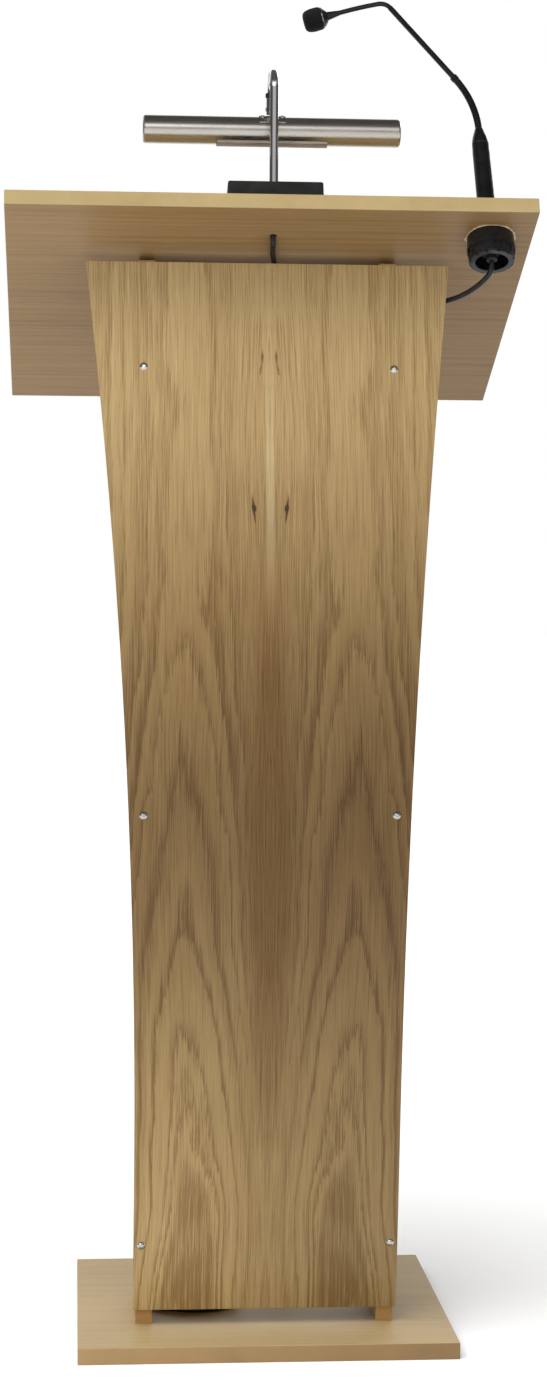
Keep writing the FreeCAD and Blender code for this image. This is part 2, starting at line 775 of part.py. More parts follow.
def lamp_shade():
    """Steel tube with a window below, a cap at each end, light tube, holders and diffuser."""
    body_long = shade_long - shade_cap * 2
    start = -(body_long.value / 2)
    tube = cut(
        cylinder(shade_r, body_long, x=start, axis=Vector(0, 1, 0), angle=90),
        cylinder(shade_r - shade_wall, body_long + 2, x=start - 1, axis=Vector(0, 1, 0), angle=90),
    )
    window = block(window_long, 21, 12, x=-window_long.value / 2, y=-10.5, z=-shade_r.value - 2)
    piece(cut(tube, window), "lamp_shade", Placement(SHADE, Rotation()))
    for name, side in (("shade_cap_left", -1), ("shade_cap_right", 1)):
        turned(
            name,
            [(0, 0), (shade_r, 0), (shade_r, shade_cap - 2.2), (shade_r - 0.6, shade_cap - 0.9),
             (shade_r - 2.4, shade_cap), (0, shade_cap)],
            frame_of(SHADE + X * (side * body_long.value / 2), Vector(0, 1, 0), X * side),
        )
    piece(cylinder(6.5, 236), "light_tube", Placement(SHADE + Vector(-118, 0, 3), ACROSS))
    holders = []
    for side in (-1, 1):
        ring = cut(
            cylinder(shade_r - shade_wall - 0.2, 8, axis=Vector(0, 1, 0), angle=90),
            cylinder(6.6, 10, x=-1, z=3, axis=Vector(0, 1, 0), angle=90),
        )
        holders.append(moved_to(ring, Placement(SHADE + X * (side * 100 - 4), Rotation())))
    group("light_holders", holders)
    lens_r = shade_r + 2
    lens = cut(
        cylinder(lens_r, window_long - 1, x=-(window_long.value - 1) / 2, axis=Vector(0, 1, 0), angle=90),
        cylinder(lens_r - 2.2, window_long, x=-window_long.value / 2, axis=Vector(0, 1, 0), angle=90),
    )
    keep = block(window_long + 2, 20, 14, x=-window_long.value / 2 - 1, y=-10, z=-shade_r.value - 4)
    piece(common(lens, keep), "lamp_diffuser", Placement(SHADE, Rotation()))


def lamp_switch():
    """Rocker switch let into the top of the lamp's block."""
    seat = on_board(lamp_x + SWITCH_X, block_setback + SWITCH_BACK, board_thick + pad_thick + block_high)
    frame_piece = cut(block(18, 26, 1.5, x=-9, y=-13), block(11, 18, 4, x=-5.5, y=-9, z=-1))
    well = cut(
        block(13.6, 21.6, 14, x=-6.8, y=-10.8, z=-14),
        block(11, 18, 12.5, x=-5.5, y=-9, z=-12),
    )
    piece(fuse(frame_piece, well), "switch_frame", seat)
    rocker = common(
        cylinder(11, 10.4, x=-5.2, axis=Vector(0, 1, 0), angle=90),
        block(10.4, 15.2, 16, x=-5.2, y=-7.6, z=-0.5),
    )
    piece(rocker, "switch_rocker", seat.multiply(Placement(Vector(0, 0, -8.45), Rotation(X, 8))))


def lead_sleeve():
    """Thin sleeve that lines the lead's hole through the reading board; the lead starts at its lower end."""
    turned(
        "lead_sleeve",
        [(0, 0), (lamp_lead_d / 2 + 0.6, 0), (lamp_lead_d / 2 + 0.6, board_thick - 0.5), (0, board_thick - 0.5)],
        on_board(lamp_x - 1, LEAD_BACK, 0),
    )


# ---------------------------------------------------------------- microphone mount

def mount_cup():
    inner = cup_r - cup_wall
    turned(
        "mount_cup",
        [(inner, -cup_drop), (cup_r + 1, -cup_drop), (cup_r + 1, 3.5 - cup_drop), (cup_r, 4.5 - cup_drop),
         (cup_r, board_thick), (36, board_thick), (36, board_thick + 2), (34.5, board_thick + 3.2),
         (inner, board_thick + 3.2)],
        on_board(mount_x, mount_back, 0),
    )
    ring = turned(
        "rubber_ring",
        [(11, -8), (inner - 0.05, -8), (inner - 0.05, -5), (20, -2), (20, 4), (inner - 0.05, 7),
         (inner - 0.05, 10), (11, 10)],
        on_board(mount_x, mount_back, 0), listed=False,
    )
    piece(cut(ring, moved_to(cylinder(insert_r + 0.02, 60), MIC)), "mount_rubber")


def ring_nut():
    """Ribbed ring nut: a tapered sleeve with windows cut between its ribs and notches round its foot."""
    low, high = -nut_high, Dim(-0.02)
    sleeve = turned(
        "nut_sleeve",
        [(mouth_r, low), (cup_r - 1.4, low), (cup_r - 0.6, low + 2), (cup_r - 0.2, high), (cup_r - cup_wall, high),
         (cup_r - cup_wall - 0.6, low + 2.4), (mouth_r, low + 2.4)],
        listed=False,
    )
    tools = []
    windows = 12
    for i in range(windows):
        angle = 360 / windows * (i + 0.3)
        pocket = block(4, window_wide, nut_high - 5)
        pocket.Placement = Placement(
            Rotation(Z, angle).multVec(
                Vector(cup_r.value - window_deep.value, -window_wide.value / 2, low.value + 3.4)),
            Rotation(Z, angle))
        notch = cylinder(1.6, 2.4, z=low)
        notch.Placement = Placement(
            Rotation(Z, angle).multVec(Vector(cup_r.value - 1.2, 0, low.value - 0.6)), Rotation(Z, angle))
        tools += [pocket, notch]
    piece(cut(sleeve, fuse(*tools)), "mount_ring_nut", on_board(mount_x, mount_back, -cup_drop))


# The microphone's own frame: z up its base, x towards the side that the gooseneck is bent to.
LEAN = math.radians(mic_lean.value)
PIVOT = board_point(mount_x, mount_back, board_thick.value - 45)
UP = NORMAL * math.cos(LEAN) - X * math.sin(LEAN)
LEFT = X * -math.cos(LEAN) - NORMAL * math.sin(LEAN)
TURN = math.radians(mic_turn.value)
BEND = LEFT * math.cos(TURN) + SLOPE * math.sin(TURN)
MIC = frame_of(PIVOT, BEND, UP)


def mic_frame(x=0.0, z=0.0, angle=0.0):
    """A place in the plane that the gooseneck is bent in; angle turns from z towards x."""
    return MIC.multiply(Placement(Vector(x, 0, z), Rotation(Vector(0, 1, 0), angle)))


def mount_insert():
    """Socket that the microphone plugs into, its release latch and the cable's gland."""
    bore = mic_shell_r + 0.35
    socket = turned(
        "socket_body",
        [(0, 6), (insert_r, 6), (insert_r, 45.5), (flange_r, 45.5), (flange_r, 47.5), (bore, 47.5),
         (bore, 29), (7.4, 29), (7.4, 40), (0, 40)],
        listed=False,
    )
    holes = [cylinder(1.6, 11, x=x, y=y, z=29.5) for x, y in pin_places()]
    window = block(6, 6.8, 3, x=insert_r.value, y=-3.4, z=45)
    window.Placement = Placement(Rotation(Z, LATCH_TURN).multVec(window.Placement.Base), Rotation(Z, LATCH_TURN))
    piece(cut(socket, *holes, window), "mount_insert", MIC)
    turned(
        "mount_gland",
        [(0, -4.5), (5.2, -4.5), (6.25, -3.4), (6.25, 2), (8.4, 3), (8.4, 6), (0, 6)],
        MIC,
    )
    latch = cut(
        block(5, 6, 4.4, x=insert_r.value + 0.4, y=-3, z=46),
        block(1, 8, 1, x=insert_r.value + 1.9, y=-4, z=49.9),
        block(1, 8, 1, x=insert_r.value + 3.9, y=-4, z=49.9),
    )
    piece(latch, "mount_latch", MIC.multiply(Placement(Vector(), Rotation(Z, LATCH_TURN))))


LATCH_TURN = -102        # puts the latch on the speaker's side


def pin_places():
    """The three contact pins, evenly round a 3.6 mm circle."""
    turns = [0.6 + k * 2 * math.pi / 3 for k in range(3)]
    return [(3.6 * math.cos(t), 3.6 * math.sin(t)) for t in turns]


# ---------------------------------------------------------------- microphone

BASE_TOP = 168.4         # top of the dome above the mount's pivot


class Gooseneck:
    """The bent line in the microphone's own frame."""

    bend = math.radians(low_flex_bend.value)
    low_r = low_flex_long.value / bend
    low_end = Vector(low_r * (1 - math.cos(bend)), 0, BASE_TOP + low_r * math.sin(bend))
    arm_dir = Vector(math.sin(bend), 0, math.cos(bend))
    arm_end = low_end + arm_dir * arm_long.value
    tight = math.radians(top_flex_tight.value)
    slack = math.radians(top_flex_bend.value)
    slack_r = top_flex_long.value / slack

    @staticmethod
    def turn(start, angle, radius, by):
        """(middle, end, angle after) of an arc that leaves start at angle from z, towards x."""
        def at(part):
            return Vector(
                start.x + radius * (math.cos(angle) - math.cos(angle + part)),
                0,
                start.z + radius * (math.sin(angle + part) - math.sin(angle)),
            )
        return at(by / 2), at(by), angle + by


def gooseneck():
    g = Gooseneck
    mid, end, _ = g.turn(Vector(0, 0, BASE_TOP), 0.0, g.low_r, g.bend)
    start = Vector(0, 0, BASE_TOP - 4)
    swept("lower_flex", low_flex_r, [line(start, Vector(0, 0, BASE_TOP)), arc(Vector(0, 0, BASE_TOP), mid, end)], MIC)
    turned(
        "arm_collar",
        [(arm_r + 0.02, 0.1), (low_flex_r + 0.5, 0.1), (low_flex_r + 0.5, 4.5), (arm_r + 0.2, 6), (arm_r + 0.02, 6)],
        mic_frame(g.low_end.x, g.low_end.z, low_flex_bend.value),
    )
    foot = g.low_end + g.arm_dir * 0.1
    piece(cylinder(arm_r, arm_long - 0.1), "mic_arm", mic_frame(foot.x, foot.z, low_flex_bend.value))
    mid_a, end_a, angle = g.turn(g.arm_end, g.bend, top_flex_tight_r.value, g.tight)
    mid_b, end_b, angle = g.turn(end_a, angle, g.slack_r, g.slack)
    swept("upper_flex", top_flex_r, [arc(g.arm_end, mid_a, end_a), arc(end_a, mid_b, end_b)], MIC)
    return end_b, math.degrees(angle)


def microphone():
    shell, grip = mic_shell_r, mic_base_r
    turned(
        "mic_base",
        [(0, 41), (shell - 1.6, 41), (shell - 1.6, 29.6), (shell, 29.6), (shell, 48), (grip + 0.3, 49.5),
         (grip - 0.2, 140.8), (0, 140.8)],
        MIC,
    )
    group("mic_pins", [cylinder(1.2, 10.5, x=x, y=y, z=30.5) for x, y in pin_places()], MIC)
    turned("mic_band", [(0, 141.1), (grip - 0.4, 141.1), (grip - 0.4, 148.6), (0, 148.6)], MIC)
    turned(
        "mic_dome",
        [(0, 148.9), (grip - 0.5, 148.9), (grip - 1.1, 155.5, Dim(20)), (low_flex_r + 0.9, BASE_TOP - 0.8),
         (low_flex_r + 0.02, BASE_TOP), (low_flex_r + 0.02, BASE_TOP - 4), (0, BASE_TOP - 4)],
        MIC,
    )


def mic_head(at, angle):
    """Tapered neck, rear housing with a bright ring, and the foam windscreen, along the last direction."""
    place = mic_frame(at.x, at.z, angle)
    turned("head_neck", [(0, 0.1), (top_flex_r + 0.2, 0.1), (5.2, 14.8), (0, 14.8)], place)
    turned(
        "head_housing",
        [(0, 14.8), (6.2, 14.8), (head_r - 2.4, 19.4), (head_r - 2.0, 20.2), (head_r - 2.0, 25), (0, 25)], place,
    )
    turned(
        "head_ring",
        [(head_r - 1.98, 19.9), (head_r - 1.3, 20.1), (head_r - 1.3, 21.3), (head_r - 1.98, 21.5)], place,
    )
    turned(
        "windscreen",
        [(0, 25.02), (head_r - 1.98, 25.02), (head_r - 1.98, 21.6), (head_r - 1.2, 21.6, Dim(26)),
         (head_r - 1.6, 38.5, Dim(8)), (head_r - 7, 43.6), (0, 44)],
        place,
    )


# ---------------------------------------------------------------- cords

def rounded_route(points, name):
    """Straight runs joined by tangent arcs, each as large as its two runs allow."""
    edges, radii, at = [], [], points[0]
    for before, corner, after in zip(points, points[1:], points[2:]):
        into, out = corner - before, after - corner
        turn = into.getAngle(out)
        short = min(into.Length, out.Length)
        radius = 0.45 * short / math.tan(turn / 2)
        reach = 0.45 * short
        a = corner - into.normalize() * reach
        b = corner + out.normalize() * reach
        bisect = (b - corner).normalize() - (corner - a).normalize()
        deep = math.sqrt(radius ** 2 + reach ** 2) - radius
        edges.append(line(at, a))
        edges.append(arc(a, corner + bisect.normalize() * deep, b))
        radii.append(radius)
        at = b
    edges.append(line(at, points[-1]))
    long = sum(e.Length for e in edges)
    print(name, "length", round(long), "mm, radii", [round(r) for r in radii])
    return edges, long


LEAD_EXIT = board_point(lamp_x - 1, LEAD_BACK, 0)
CABLE_EXIT = PIVOT - UP * 4.5

# Out under the board, over the panel's top edge and down behind it, to the coil on the base.
LAMP_LEAD_ROUTE = [
    LEAD_EXIT,
    board_point(3, 58.8, -5),
    board_point(3.2, 65, -9.5),
    board_point(3.8, 85, -7),
    board_point(8, 110, -4.4),
    (9, -89, 1221),
    (8, -93, 1190),
    (9.5, -95, 1128),
    (8, -91, 1042),
    (11, -88, 955),
    (12, -81, 868),
    (17, -78, 780),
    (17, -70, 692),
    (22, -66, 604),
    (21, -57, 516),
    (26, -51, 430),
    (25, -40, 345),
    (30, -31, 261),
    (29, -18, 180),
    (32, -5, 112),
    (31.5, 10, 66),
    (32.2, 27, 40),
    (32.2, 42, 31.5),
]
# Out of the cup, behind the panel, through the grommet in the right fin and down to the coil.
MIC_CABLE_ROUTE = [
    CABLE_EXIT,
    (250.8, -156.8, 1228.6),
    (245.7, -152.5, 1220.2),
    (234.2, -138, 1209.8),
    (217.7, -117, 1201),
    (192, -94, 1196),
    (165, -74, 1190.5),
    (139, -66, 1184),
    (114, -61, 1174),
    (94, -55, 1154),
    (84, -54, 1116),
    (78, -48, 1045),
    (66, -49, 960),
    (59, -43, 874),
    (47, -45, 788),
    (40, -40, 702),
    (28, -43, 616),
    (21, -38, 530),
    (9, -41, 444),
    (2, -35, 358),
    (-10, -35, 272),
    (-17, -27, 190),
    (-27, -23, 122),
    (-30.5, -24, 72),
    (-32.7, -33, 43),
    (-32.7, -47, 32),
]


def cord_tube(name, across, route):
    """The stretch of a cord that hangs free; its volume is checked against its length."""
    edges, long = rounded_route([Vector(p) for p in route], name)
    tube = swept(name, across / 2, edges)
    doc.recompute()
    solid = math.pi * across.value ** 2 / 4 * long
    print(name, "volume ratio", round(tube.Shape.Volume / solid, 4))


def coil(name, x, y, across, middle_r, turns_wide, layers):
    """The outer shape of a flat coil that lies on the base."""
    half = turns_wide * across / 2
    mid = Dim(middle_r)
    turned(
        name,
        [(mid - half, 1.5), (mid - half + 1.5, 0), (mid + half - 1.5, 0), (mid + half, 1.5),
         (mid + half, across * layers - 1.5), (mid + half - 1.5, across * layers),
         (mid - half + 1.5, across * layers), (mid - half, across * layers - 1.5)],
        Placement(Vector(x, y, board_thick.value), Rotation()),
    )


def cable_connector():
    """Round three-pole connector at the end of the microphone cable, lying on the base."""
    r = 9.5
    tail = 19.0
    turned(
        "cable_connector",
        [(0, 0), (4.2, 0), (5.6, tail), (7.5, tail + 2), (r, tail + 4), (r, 66), (r - 1.2, 66), (r - 1.2, 52),
         (0, 52)],
        frame_of(Vector(-119.4, -15, board_thick.value + r), X, Vector(0, 1, 0)),
    )
    latch = block(6, 3.4, 1.6, x=-3, y=-1.7)
    piece(latch, "connector_latch",
          frame_of(Vector(-119.4, 27, board_thick.value + 2 * r - 0.1), Vector(0, 1, 0), Z))


def lead_plug():
    """Moulded flat plug at the end of the lamp's lead, lying on the base."""
    body = slab(
        "lead_plug", "XY_Plane",
        [(0, -4), (20, -6), (24, -8), (30, -17), (46, -17.5), (57, -13), (57, 13), (46, 17.5), (30, 17),
         (24, 8), (20, 6), (0, 4)],
        13, placement=Placement(Vector(98, 87.7, board_thick.value), Rotation()),
    )
    soften(body, Dim(2.4), lambda e: e.BoundBox.ZLength < 0.1)
    pins = []
    for y in (-9.5, 9.5):
        pins.append(cylinder(2, 19, x=57, y=y, z=6.5, axis=Vector(0, 1, 0), angle=90))
    group("plug_pins", pins, Placement(Vector(98, 87.7, board_thick.value), Rotation()))


def cable_grommet():
    turned(
        "cable_grommet",
        [(7, -11.2), (11.5, -11.2), (12.5, -10.4), (12.5, -9.52), (9.98, -9.52), (9.98, 9.52), (12.5, 9.52),
         (12.5, 10.4), (11.5, 11.2), (7, 11.2)],
        frame_of(Vector(fin_spread.value, GROMMET_Y, GROMMET_Z), Vector(0, 1, 0), X),
    )


def export():
    doc.recompute()
    bad = [o.Name for o in doc.Objects if "Invalid" in o.State or "Error" in o.State]
    if bad:
        raise RuntimeError(f"failed objects: {bad}")
    os.makedirs("parts", exist_ok=True)
    for obj in made:
        shape = obj.Shape
        if shape.isNull() or not shape.isValid():
            raise RuntimeError(f"{obj.Label} has no valid shape")
        shape.exportStep(f"parts/{obj.Label}.step")
    print(len(made), "sub-parts")


base_board()
reading_board()
page_stop()
fin("left_fin", -1)
fin("right_fin", 1, holes=[(GROMMET_Y - FRONT_Y, GROMMET_Z, Dim(10))])
front_panel()
group("panel_screws", [dome_screw(bow_facing(side, z)) for z in SCREW_UPS for side in (-1, 1)])
rails()
angle_brackets()
frame_screws()
lamp_block()
lamp_pad()
lamp_neck()
lamp_joint()
lamp_saddle()
lamp_shade()
lamp_switch()
lead_sleeve()
mount_cup()
ring_nut()
mount_insert()
gooseneck_end, head_angle = gooseneck()
microphone()
mic_head(gooseneck_end, head_angle)
cable_grommet()
cord_tube("mic_cable", mic_cable_d, MIC_CABLE_ROUTE)
coil("mic_cable_coil", -76, -41, mic_cable_d, 43.3, 3, 2)
cable_connector()
cord_tube("lamp_lead", lamp_lead_d, LAMP_LEAD_ROUTE)
coil("lamp_lead_coil", 70, 50, lamp_lead_d, 37.8, 3, 2)
lead_plug()
export()
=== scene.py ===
"""Presentation lectern in lacquered oak, with a swan-neck lamp and a gooseneck microphone."""
import math

import bpy
from mathutils import Matrix, Vector, noise


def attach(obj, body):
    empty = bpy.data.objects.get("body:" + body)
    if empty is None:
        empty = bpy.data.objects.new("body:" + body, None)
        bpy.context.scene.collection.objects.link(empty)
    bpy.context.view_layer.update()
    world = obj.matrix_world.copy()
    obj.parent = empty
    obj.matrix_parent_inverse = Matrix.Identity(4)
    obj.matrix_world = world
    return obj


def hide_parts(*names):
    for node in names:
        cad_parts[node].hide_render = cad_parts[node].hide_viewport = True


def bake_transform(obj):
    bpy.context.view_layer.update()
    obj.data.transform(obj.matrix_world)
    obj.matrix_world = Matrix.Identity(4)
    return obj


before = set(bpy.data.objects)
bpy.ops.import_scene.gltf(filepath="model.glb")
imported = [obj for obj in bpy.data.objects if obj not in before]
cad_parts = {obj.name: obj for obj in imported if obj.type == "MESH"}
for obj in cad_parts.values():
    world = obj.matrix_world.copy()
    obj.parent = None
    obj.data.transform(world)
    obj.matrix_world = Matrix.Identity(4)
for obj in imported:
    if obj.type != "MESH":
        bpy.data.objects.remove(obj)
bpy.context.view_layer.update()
MM = 0.001


# ---------------------------------------------------------------- camera

def make_camera():
    """Where the photographer stood: in front, a little to the left, at the height of the panel's middle."""
    data = bpy.data.cameras.new("camera")
    data.sensor_width = 36
    data.lens = 69.56
    camera = bpy.data.objects.new("camera", data)
    camera.location = (-0.2209, -3.1767, 0.8729)
    camera.rotation_euler = (math.radians(87.6927), math.radians(-0.3355), math.radians(-4.2665))
    bpy.context.scene.collection.objects.link(camera)
    bpy.context.scene.camera = camera


make_camera()


# ---------------------------------------------------------------- places on the lectern

TILT = math.radians(24)
LEAN = math.radians(1.8)
TURN = math.radians(12)
BOARD = 19 * MM                                           # thickness of every board
TOP_EDGE = Vector((0, -191.04, 1290)) * MM                # lower front edge of the reading board
SLOPE = Vector((0, math.cos(TILT), -math.sin(TILT)))
NORMAL = Vector((0, math.sin(TILT), math.cos(TILT)))
ACROSS = Vector((1, 0, 0))


def board_point(x, down, out):
    """A point across, down the slope and out from the board's underside, in millimetres."""
    return TOP_EDGE + (ACROSS * x + SLOPE * down + NORMAL * out) * MM


MIC_PIVOT = board_point(251.5, 55, -26)
MIC_UP = NORMAL * math.cos(LEAN) - ACROSS * math.sin(LEAN)
MIC_LEFT = -ACROSS * math.cos(LEAN) - NORMAL * math.sin(LEAN)
MIC_BEND = MIC_LEFT * math.cos(TURN) + SLOPE * math.sin(TURN)


def in_mic(along, up):
    """A point in the plane that the gooseneck is bent in, in millimetres from the mount's pivot."""
    return MIC_PIVOT + (MIC_BEND * along + MIC_UP * up) * MM


# ---------------------------------------------------------------- cords

LEAD_DIAMETER = 6 * MM
CABLE_DIAMETER = 6.3 * MM
LEAD_EXIT = board_point(3, 58.8, 0)
CABLE_EXIT = MIC_PIVOT - MIC_UP * 4.5 * MM

LAMP_LEAD_ROUTE = [
    LEAD_EXIT,
    board_point(3, 58.8, -5),
    board_point(3.2, 65, -9.5),
    board_point(3.8, 85, -7),
    board_point(8, 110, -4.4),
    (0.009, -0.089, 1.221),
    (0.008, -0.093, 1.190),
    (0.0095, -0.095, 1.128),
    (0.008, -0.091, 1.042),
    (0.011, -0.088, 0.955),
    (0.012, -0.081, 0.868),
    (0.017, -0.078, 0.780),
    (0.017, -0.070, 0.692),
    (0.022, -0.066, 0.604),
    (0.021, -0.057, 0.516),
    (0.026, -0.051, 0.430),
    (0.025, -0.040, 0.345),
    (0.030, -0.031, 0.261),
    (0.029, -0.018, 0.180),
    (0.032, -0.005, 0.112),
    (0.0315, 0.010, 0.066),
    (0.0300, 0.027, 0.040),
]
MIC_CABLE_ROUTE = [
    CABLE_EXIT,
    (0.2508, -0.1568, 1.2286),
    (0.2457, -0.1525, 1.2202),
    (0.2342, -0.1380, 1.2098),
    (0.2177, -0.1170, 1.2010),
    (0.1920, -0.0940, 1.1960),
    (0.1650, -0.0740, 1.1905),
    (0.1390, -0.0660, 1.1840),
    (0.1140, -0.0610, 1.1740),
    (0.0940, -0.0550, 1.1540),
    (0.0840, -0.0540, 1.1160),
    (0.0780, -0.0480, 1.0450),
    (0.0660, -0.0490, 0.9600),
    (0.0590, -0.0430, 0.8740),
    (0.0470, -0.0450, 0.7880),
    (0.0400, -0.0400, 0.7020),
    (0.0280, -0.0430, 0.6160),
    (0.0210, -0.0380, 0.5300),
    (0.0090, -0.0410, 0.4440),
    (0.0020, -0.0350, 0.3580),
    (-0.0100, -0.0350, 0.2720),
    (-0.0170, -0.0270, 0.1900),
    (-0.0270, -0.0230, 0.1220),
    (-0.0290, -0.0160, 0.0720),
    (-0.0275, -0.0230, 0.0450),
]


TIE_THICK = 0.6 * MM


def coil_turns(x, y, middle, across, start, turns, per_turn=16):
    """Clockwise turns in two layers: in over the upper one and out over the lower one."""
    steps = [1, 0, -1, -1, 0, 1, 1]
    grow = 1 / math.cos(math.pi / per_turn) ** 2          # the spline cuts inside its points
    points = []
    for k in range(round(turns * per_turn) + 1):
        turn = k / per_turn
        slot = min(int(turn), 5)
        late = min(max((turn - slot - 0.82) / 0.18, 0.0), 1.0)
        ease = late * late * (3 - 2 * late)
        step = steps[slot] + (steps[slot + 1] - steps[slot]) * ease
        drop = 0.0 if turn < 2.82 else min((turn - 2.82) / 0.18, 1.0)
        angle = start - 2 * math.pi * turn
        radius = (middle + step * across) * grow
        z = BOARD + TIE_THICK + across * (1.5 - drop)
        points.append((x + radius * math.cos(angle), y + radius * math.sin(angle), z))
    return points


def make_cord(name, points, across):
    """One open spline with the route's points as its control points."""
    data = bpy.data.curves.new(name, "CURVE")
    data.dimensions = "3D"
    data.bevel_depth = 1.0                                # times each point's radius
    data.bevel_resolution = 5
    data.resolution_u = 8
    data.use_fill_caps = True
    spline = data.splines.new("NURBS")
    spline.points.add(len(points) - 1)
    for point, place in zip(spline.points, points):
        point.co = (*place, 1)
        point.radius = across / 2
    spline.order_u = 3
    spline.use_endpoint_u = True
    cord = bpy.data.objects.new(name, data)
    bpy.context.scene.collection.objects.link(cord)
    return cord


def cords():
    """The microphone's cable and the lamp's lead, each with its spare length coiled on the base."""
    coil = coil_turns(-0.076, -0.041, 0.0433, CABLE_DIAMETER, 0.0, 5.5)
    tail = [(-0.1255, -0.031, 0.0235), (-0.1200, -0.021, 0.0275), (-0.1194, -0.012, 0.0285)]
    cable = make_cord("microphone_cable", MIC_CABLE_ROUTE + coil + tail, CABLE_DIAMETER)
    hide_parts("mic_cable", "mic_cable_coil")
    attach(cable, "lectern")
    coil = coil_turns(0.070, 0.050, 0.0378, LEAD_DIAMETER, math.pi, 5.25)
    tail = [(0.082, 0.0925, 0.0235), (0.092, 0.0885, 0.0250), (0.101, 0.0877, 0.0255)]
    lead = make_cord("lamp_lead_wire", LAMP_LEAD_ROUTE + coil + tail, LEAD_DIAMETER)
    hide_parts("lamp_lead", "lamp_lead_coil")
    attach(lead, "lectern")
    return cable, lead


cable, lead = cords()


# ---------------------------------------------------------------- material tools

class Shade:
    """A material and its nodes, built from the outside in."""

    def __init__(self, name, **values):
        self.material = bpy.data.materials.new(name)
        self.material.use_nodes = True
        self.tree = self.material.node_tree
        self.tree.nodes.clear()
        out = self.tree.nodes.new("ShaderNodeOutputMaterial")
        self.shader = self.tree.nodes.new("ShaderNodeBsdfPrincipled")
        self.tree.links.new(self.shader.outputs[0], out.inputs["Surface"])
        for key, value in values.items():
            self.shader.inputs[key.replace("_", " ")].default_value = value
        self.place = self.tree.nodes.new("ShaderNodeTexCoord").outputs["Object"]

    def feed(self, socket, value):
        if isinstance(value, bpy.types.NodeSocket):
            self.tree.links.new(value, socket)
        else:
            socket.default_value = value

    def math(self, kind, a, b=0.0, c=0.0):
        node = self.tree.nodes.new("ShaderNodeMath")
        node.operation = kind
        for socket, value in zip(node.inputs, (a, b, c)):
            self.feed(socket, value)
        return node.outputs[0]

    def split(self, vector):
        node = self.tree.nodes.new("ShaderNodeSeparateXYZ")
        self.feed(node.inputs[0], vector)
        return node.outputs

    def join(self, x, y, z):
        node = self.tree.nodes.new("ShaderNodeCombineXYZ")
        for socket, value in zip(node.inputs, (x, y, z)):
            self.feed(socket, value)
        return node.outputs[0]

    def turned(self, vector, angle):
        """The vector turned about X."""
        node = self.tree.nodes.new("ShaderNodeMapping")
        node.inputs["Rotation"].default_value = (angle, 0, 0)
        self.feed(node.inputs["Vector"], vector)
        return node.outputs[0]

    def scaled(self, vector, by):
        node = self.tree.nodes.new("ShaderNodeMapping")
        node.inputs["Scale"].default_value = by
        self.feed(node.inputs["Vector"], vector)
        return node.outputs[0]

    def noise(self, vector, scale, detail=2.0, rough=0.5, distort=0.0):
        node = self.tree.nodes.new("ShaderNodeTexNoise")
        self.feed(node.inputs["Vector"], vector)
        self.feed(node.inputs["Scale"], scale)
        node.inputs["Detail"].default_value = detail
        node.inputs["Roughness"].default_value = rough
        node.inputs["Distortion"].default_value = distort
        return node.outputs["Fac"]

    def cells(self, vector, scale, feature="F1"):
        node = self.tree.nodes.new("ShaderNodeTexVoronoi")
        node.feature = feature
        self.feed(node.inputs["Vector"], vector)
        node.inputs["Scale"].default_value = scale
        return node.outputs["Distance"]

    def span(self, value, low, high, to_low=0.0, to_high=1.0):
        node = self.tree.nodes.new("ShaderNodeMapRange")
        self.feed(node.inputs["Value"], value)
        for key, number in zip(("From Min", "From Max", "To Min", "To Max"), (low, high, to_low, to_high)):
            node.inputs[key].default_value = number
        return node.outputs["Result"]

    def ramp(self, value, stops):
        node = self.tree.nodes.new("ShaderNodeValToRGB")
        self.feed(node.inputs[0], value)
        bar = node.color_ramp
        while len(bar.elements) < len(stops):
            bar.elements.new(0.5)
        for element, (at, colour) in zip(bar.elements, stops):
            element.position = at
            element.color = (*colour, 1)
        return node.outputs[0]

    def mix(self, factor, a, b, kind="MIX"):
        node = self.tree.nodes.new("ShaderNodeMix")
        node.data_type = "RGBA"
        node.blend_type = kind
        self.feed(node.inputs[0], factor)
        for socket, value in zip(node.inputs[6:8], (a, b)):
            self.feed(socket, value if isinstance(value, bpy.types.NodeSocket) else (*value, 1))
        return node.outputs[2]

    def colour(self, value):
        self.feed(self.shader.inputs["Base Color"], value)

    def roughness(self, value):
        self.feed(self.shader.inputs["Roughness"], value)

    def bump(self, height, strength, distance):
        node = self.tree.nodes.new("ShaderNodeBump")
        node.inputs["Strength"].default_value = strength
        node.inputs["Distance"].default_value = distance
        self.feed(node.inputs["Height"], height)
        self.feed(self.shader.inputs["Normal"], node.outputs[0])


def give(material, *nodes):
    """Puts a material on CAD parts."""
    for node in nodes:
        slots = bpy.data.objects[node].material_slots
        for slot in slots:
            slot.material = material


# ---------------------------------------------------------------- oak

PORE = (0.17, 0.095, 0.038)


def fibres(shade, along, across, deep, seed=0.0, wander=0.008):
    """(bands, streaks, pores) of straight-grained oak; each runs from 0 to 1."""
    sway = shade.noise(shade.join(shade.math("MULTIPLY", along, 3.0), shade.math("MULTIPLY", across, 6.0), seed), 1.0)
    side = shade.math("ADD", across, shade.math("MULTIPLY", sway, wander))
    bands = shade.noise(shade.join(shade.math("MULTIPLY", along, 1.1), shade.math("MULTIPLY", side, 190.0), deep),
                        1.0, 3.0, 0.6)
    streaks = shade.noise(shade.join(shade.math("MULTIPLY", along, 11.0), shade.math("MULTIPLY", side, 820.0), deep),
                          1.0, 4.0, 0.7)
    pores = shade.noise(shade.join(shade.math("MULTIPLY", along, 70.0), shade.math("MULTIPLY", side, 1700.0), deep),
                        1.0, 1.0, 0.4)
    return bands, streaks, shade.span(pores, 0.60, 0.72)


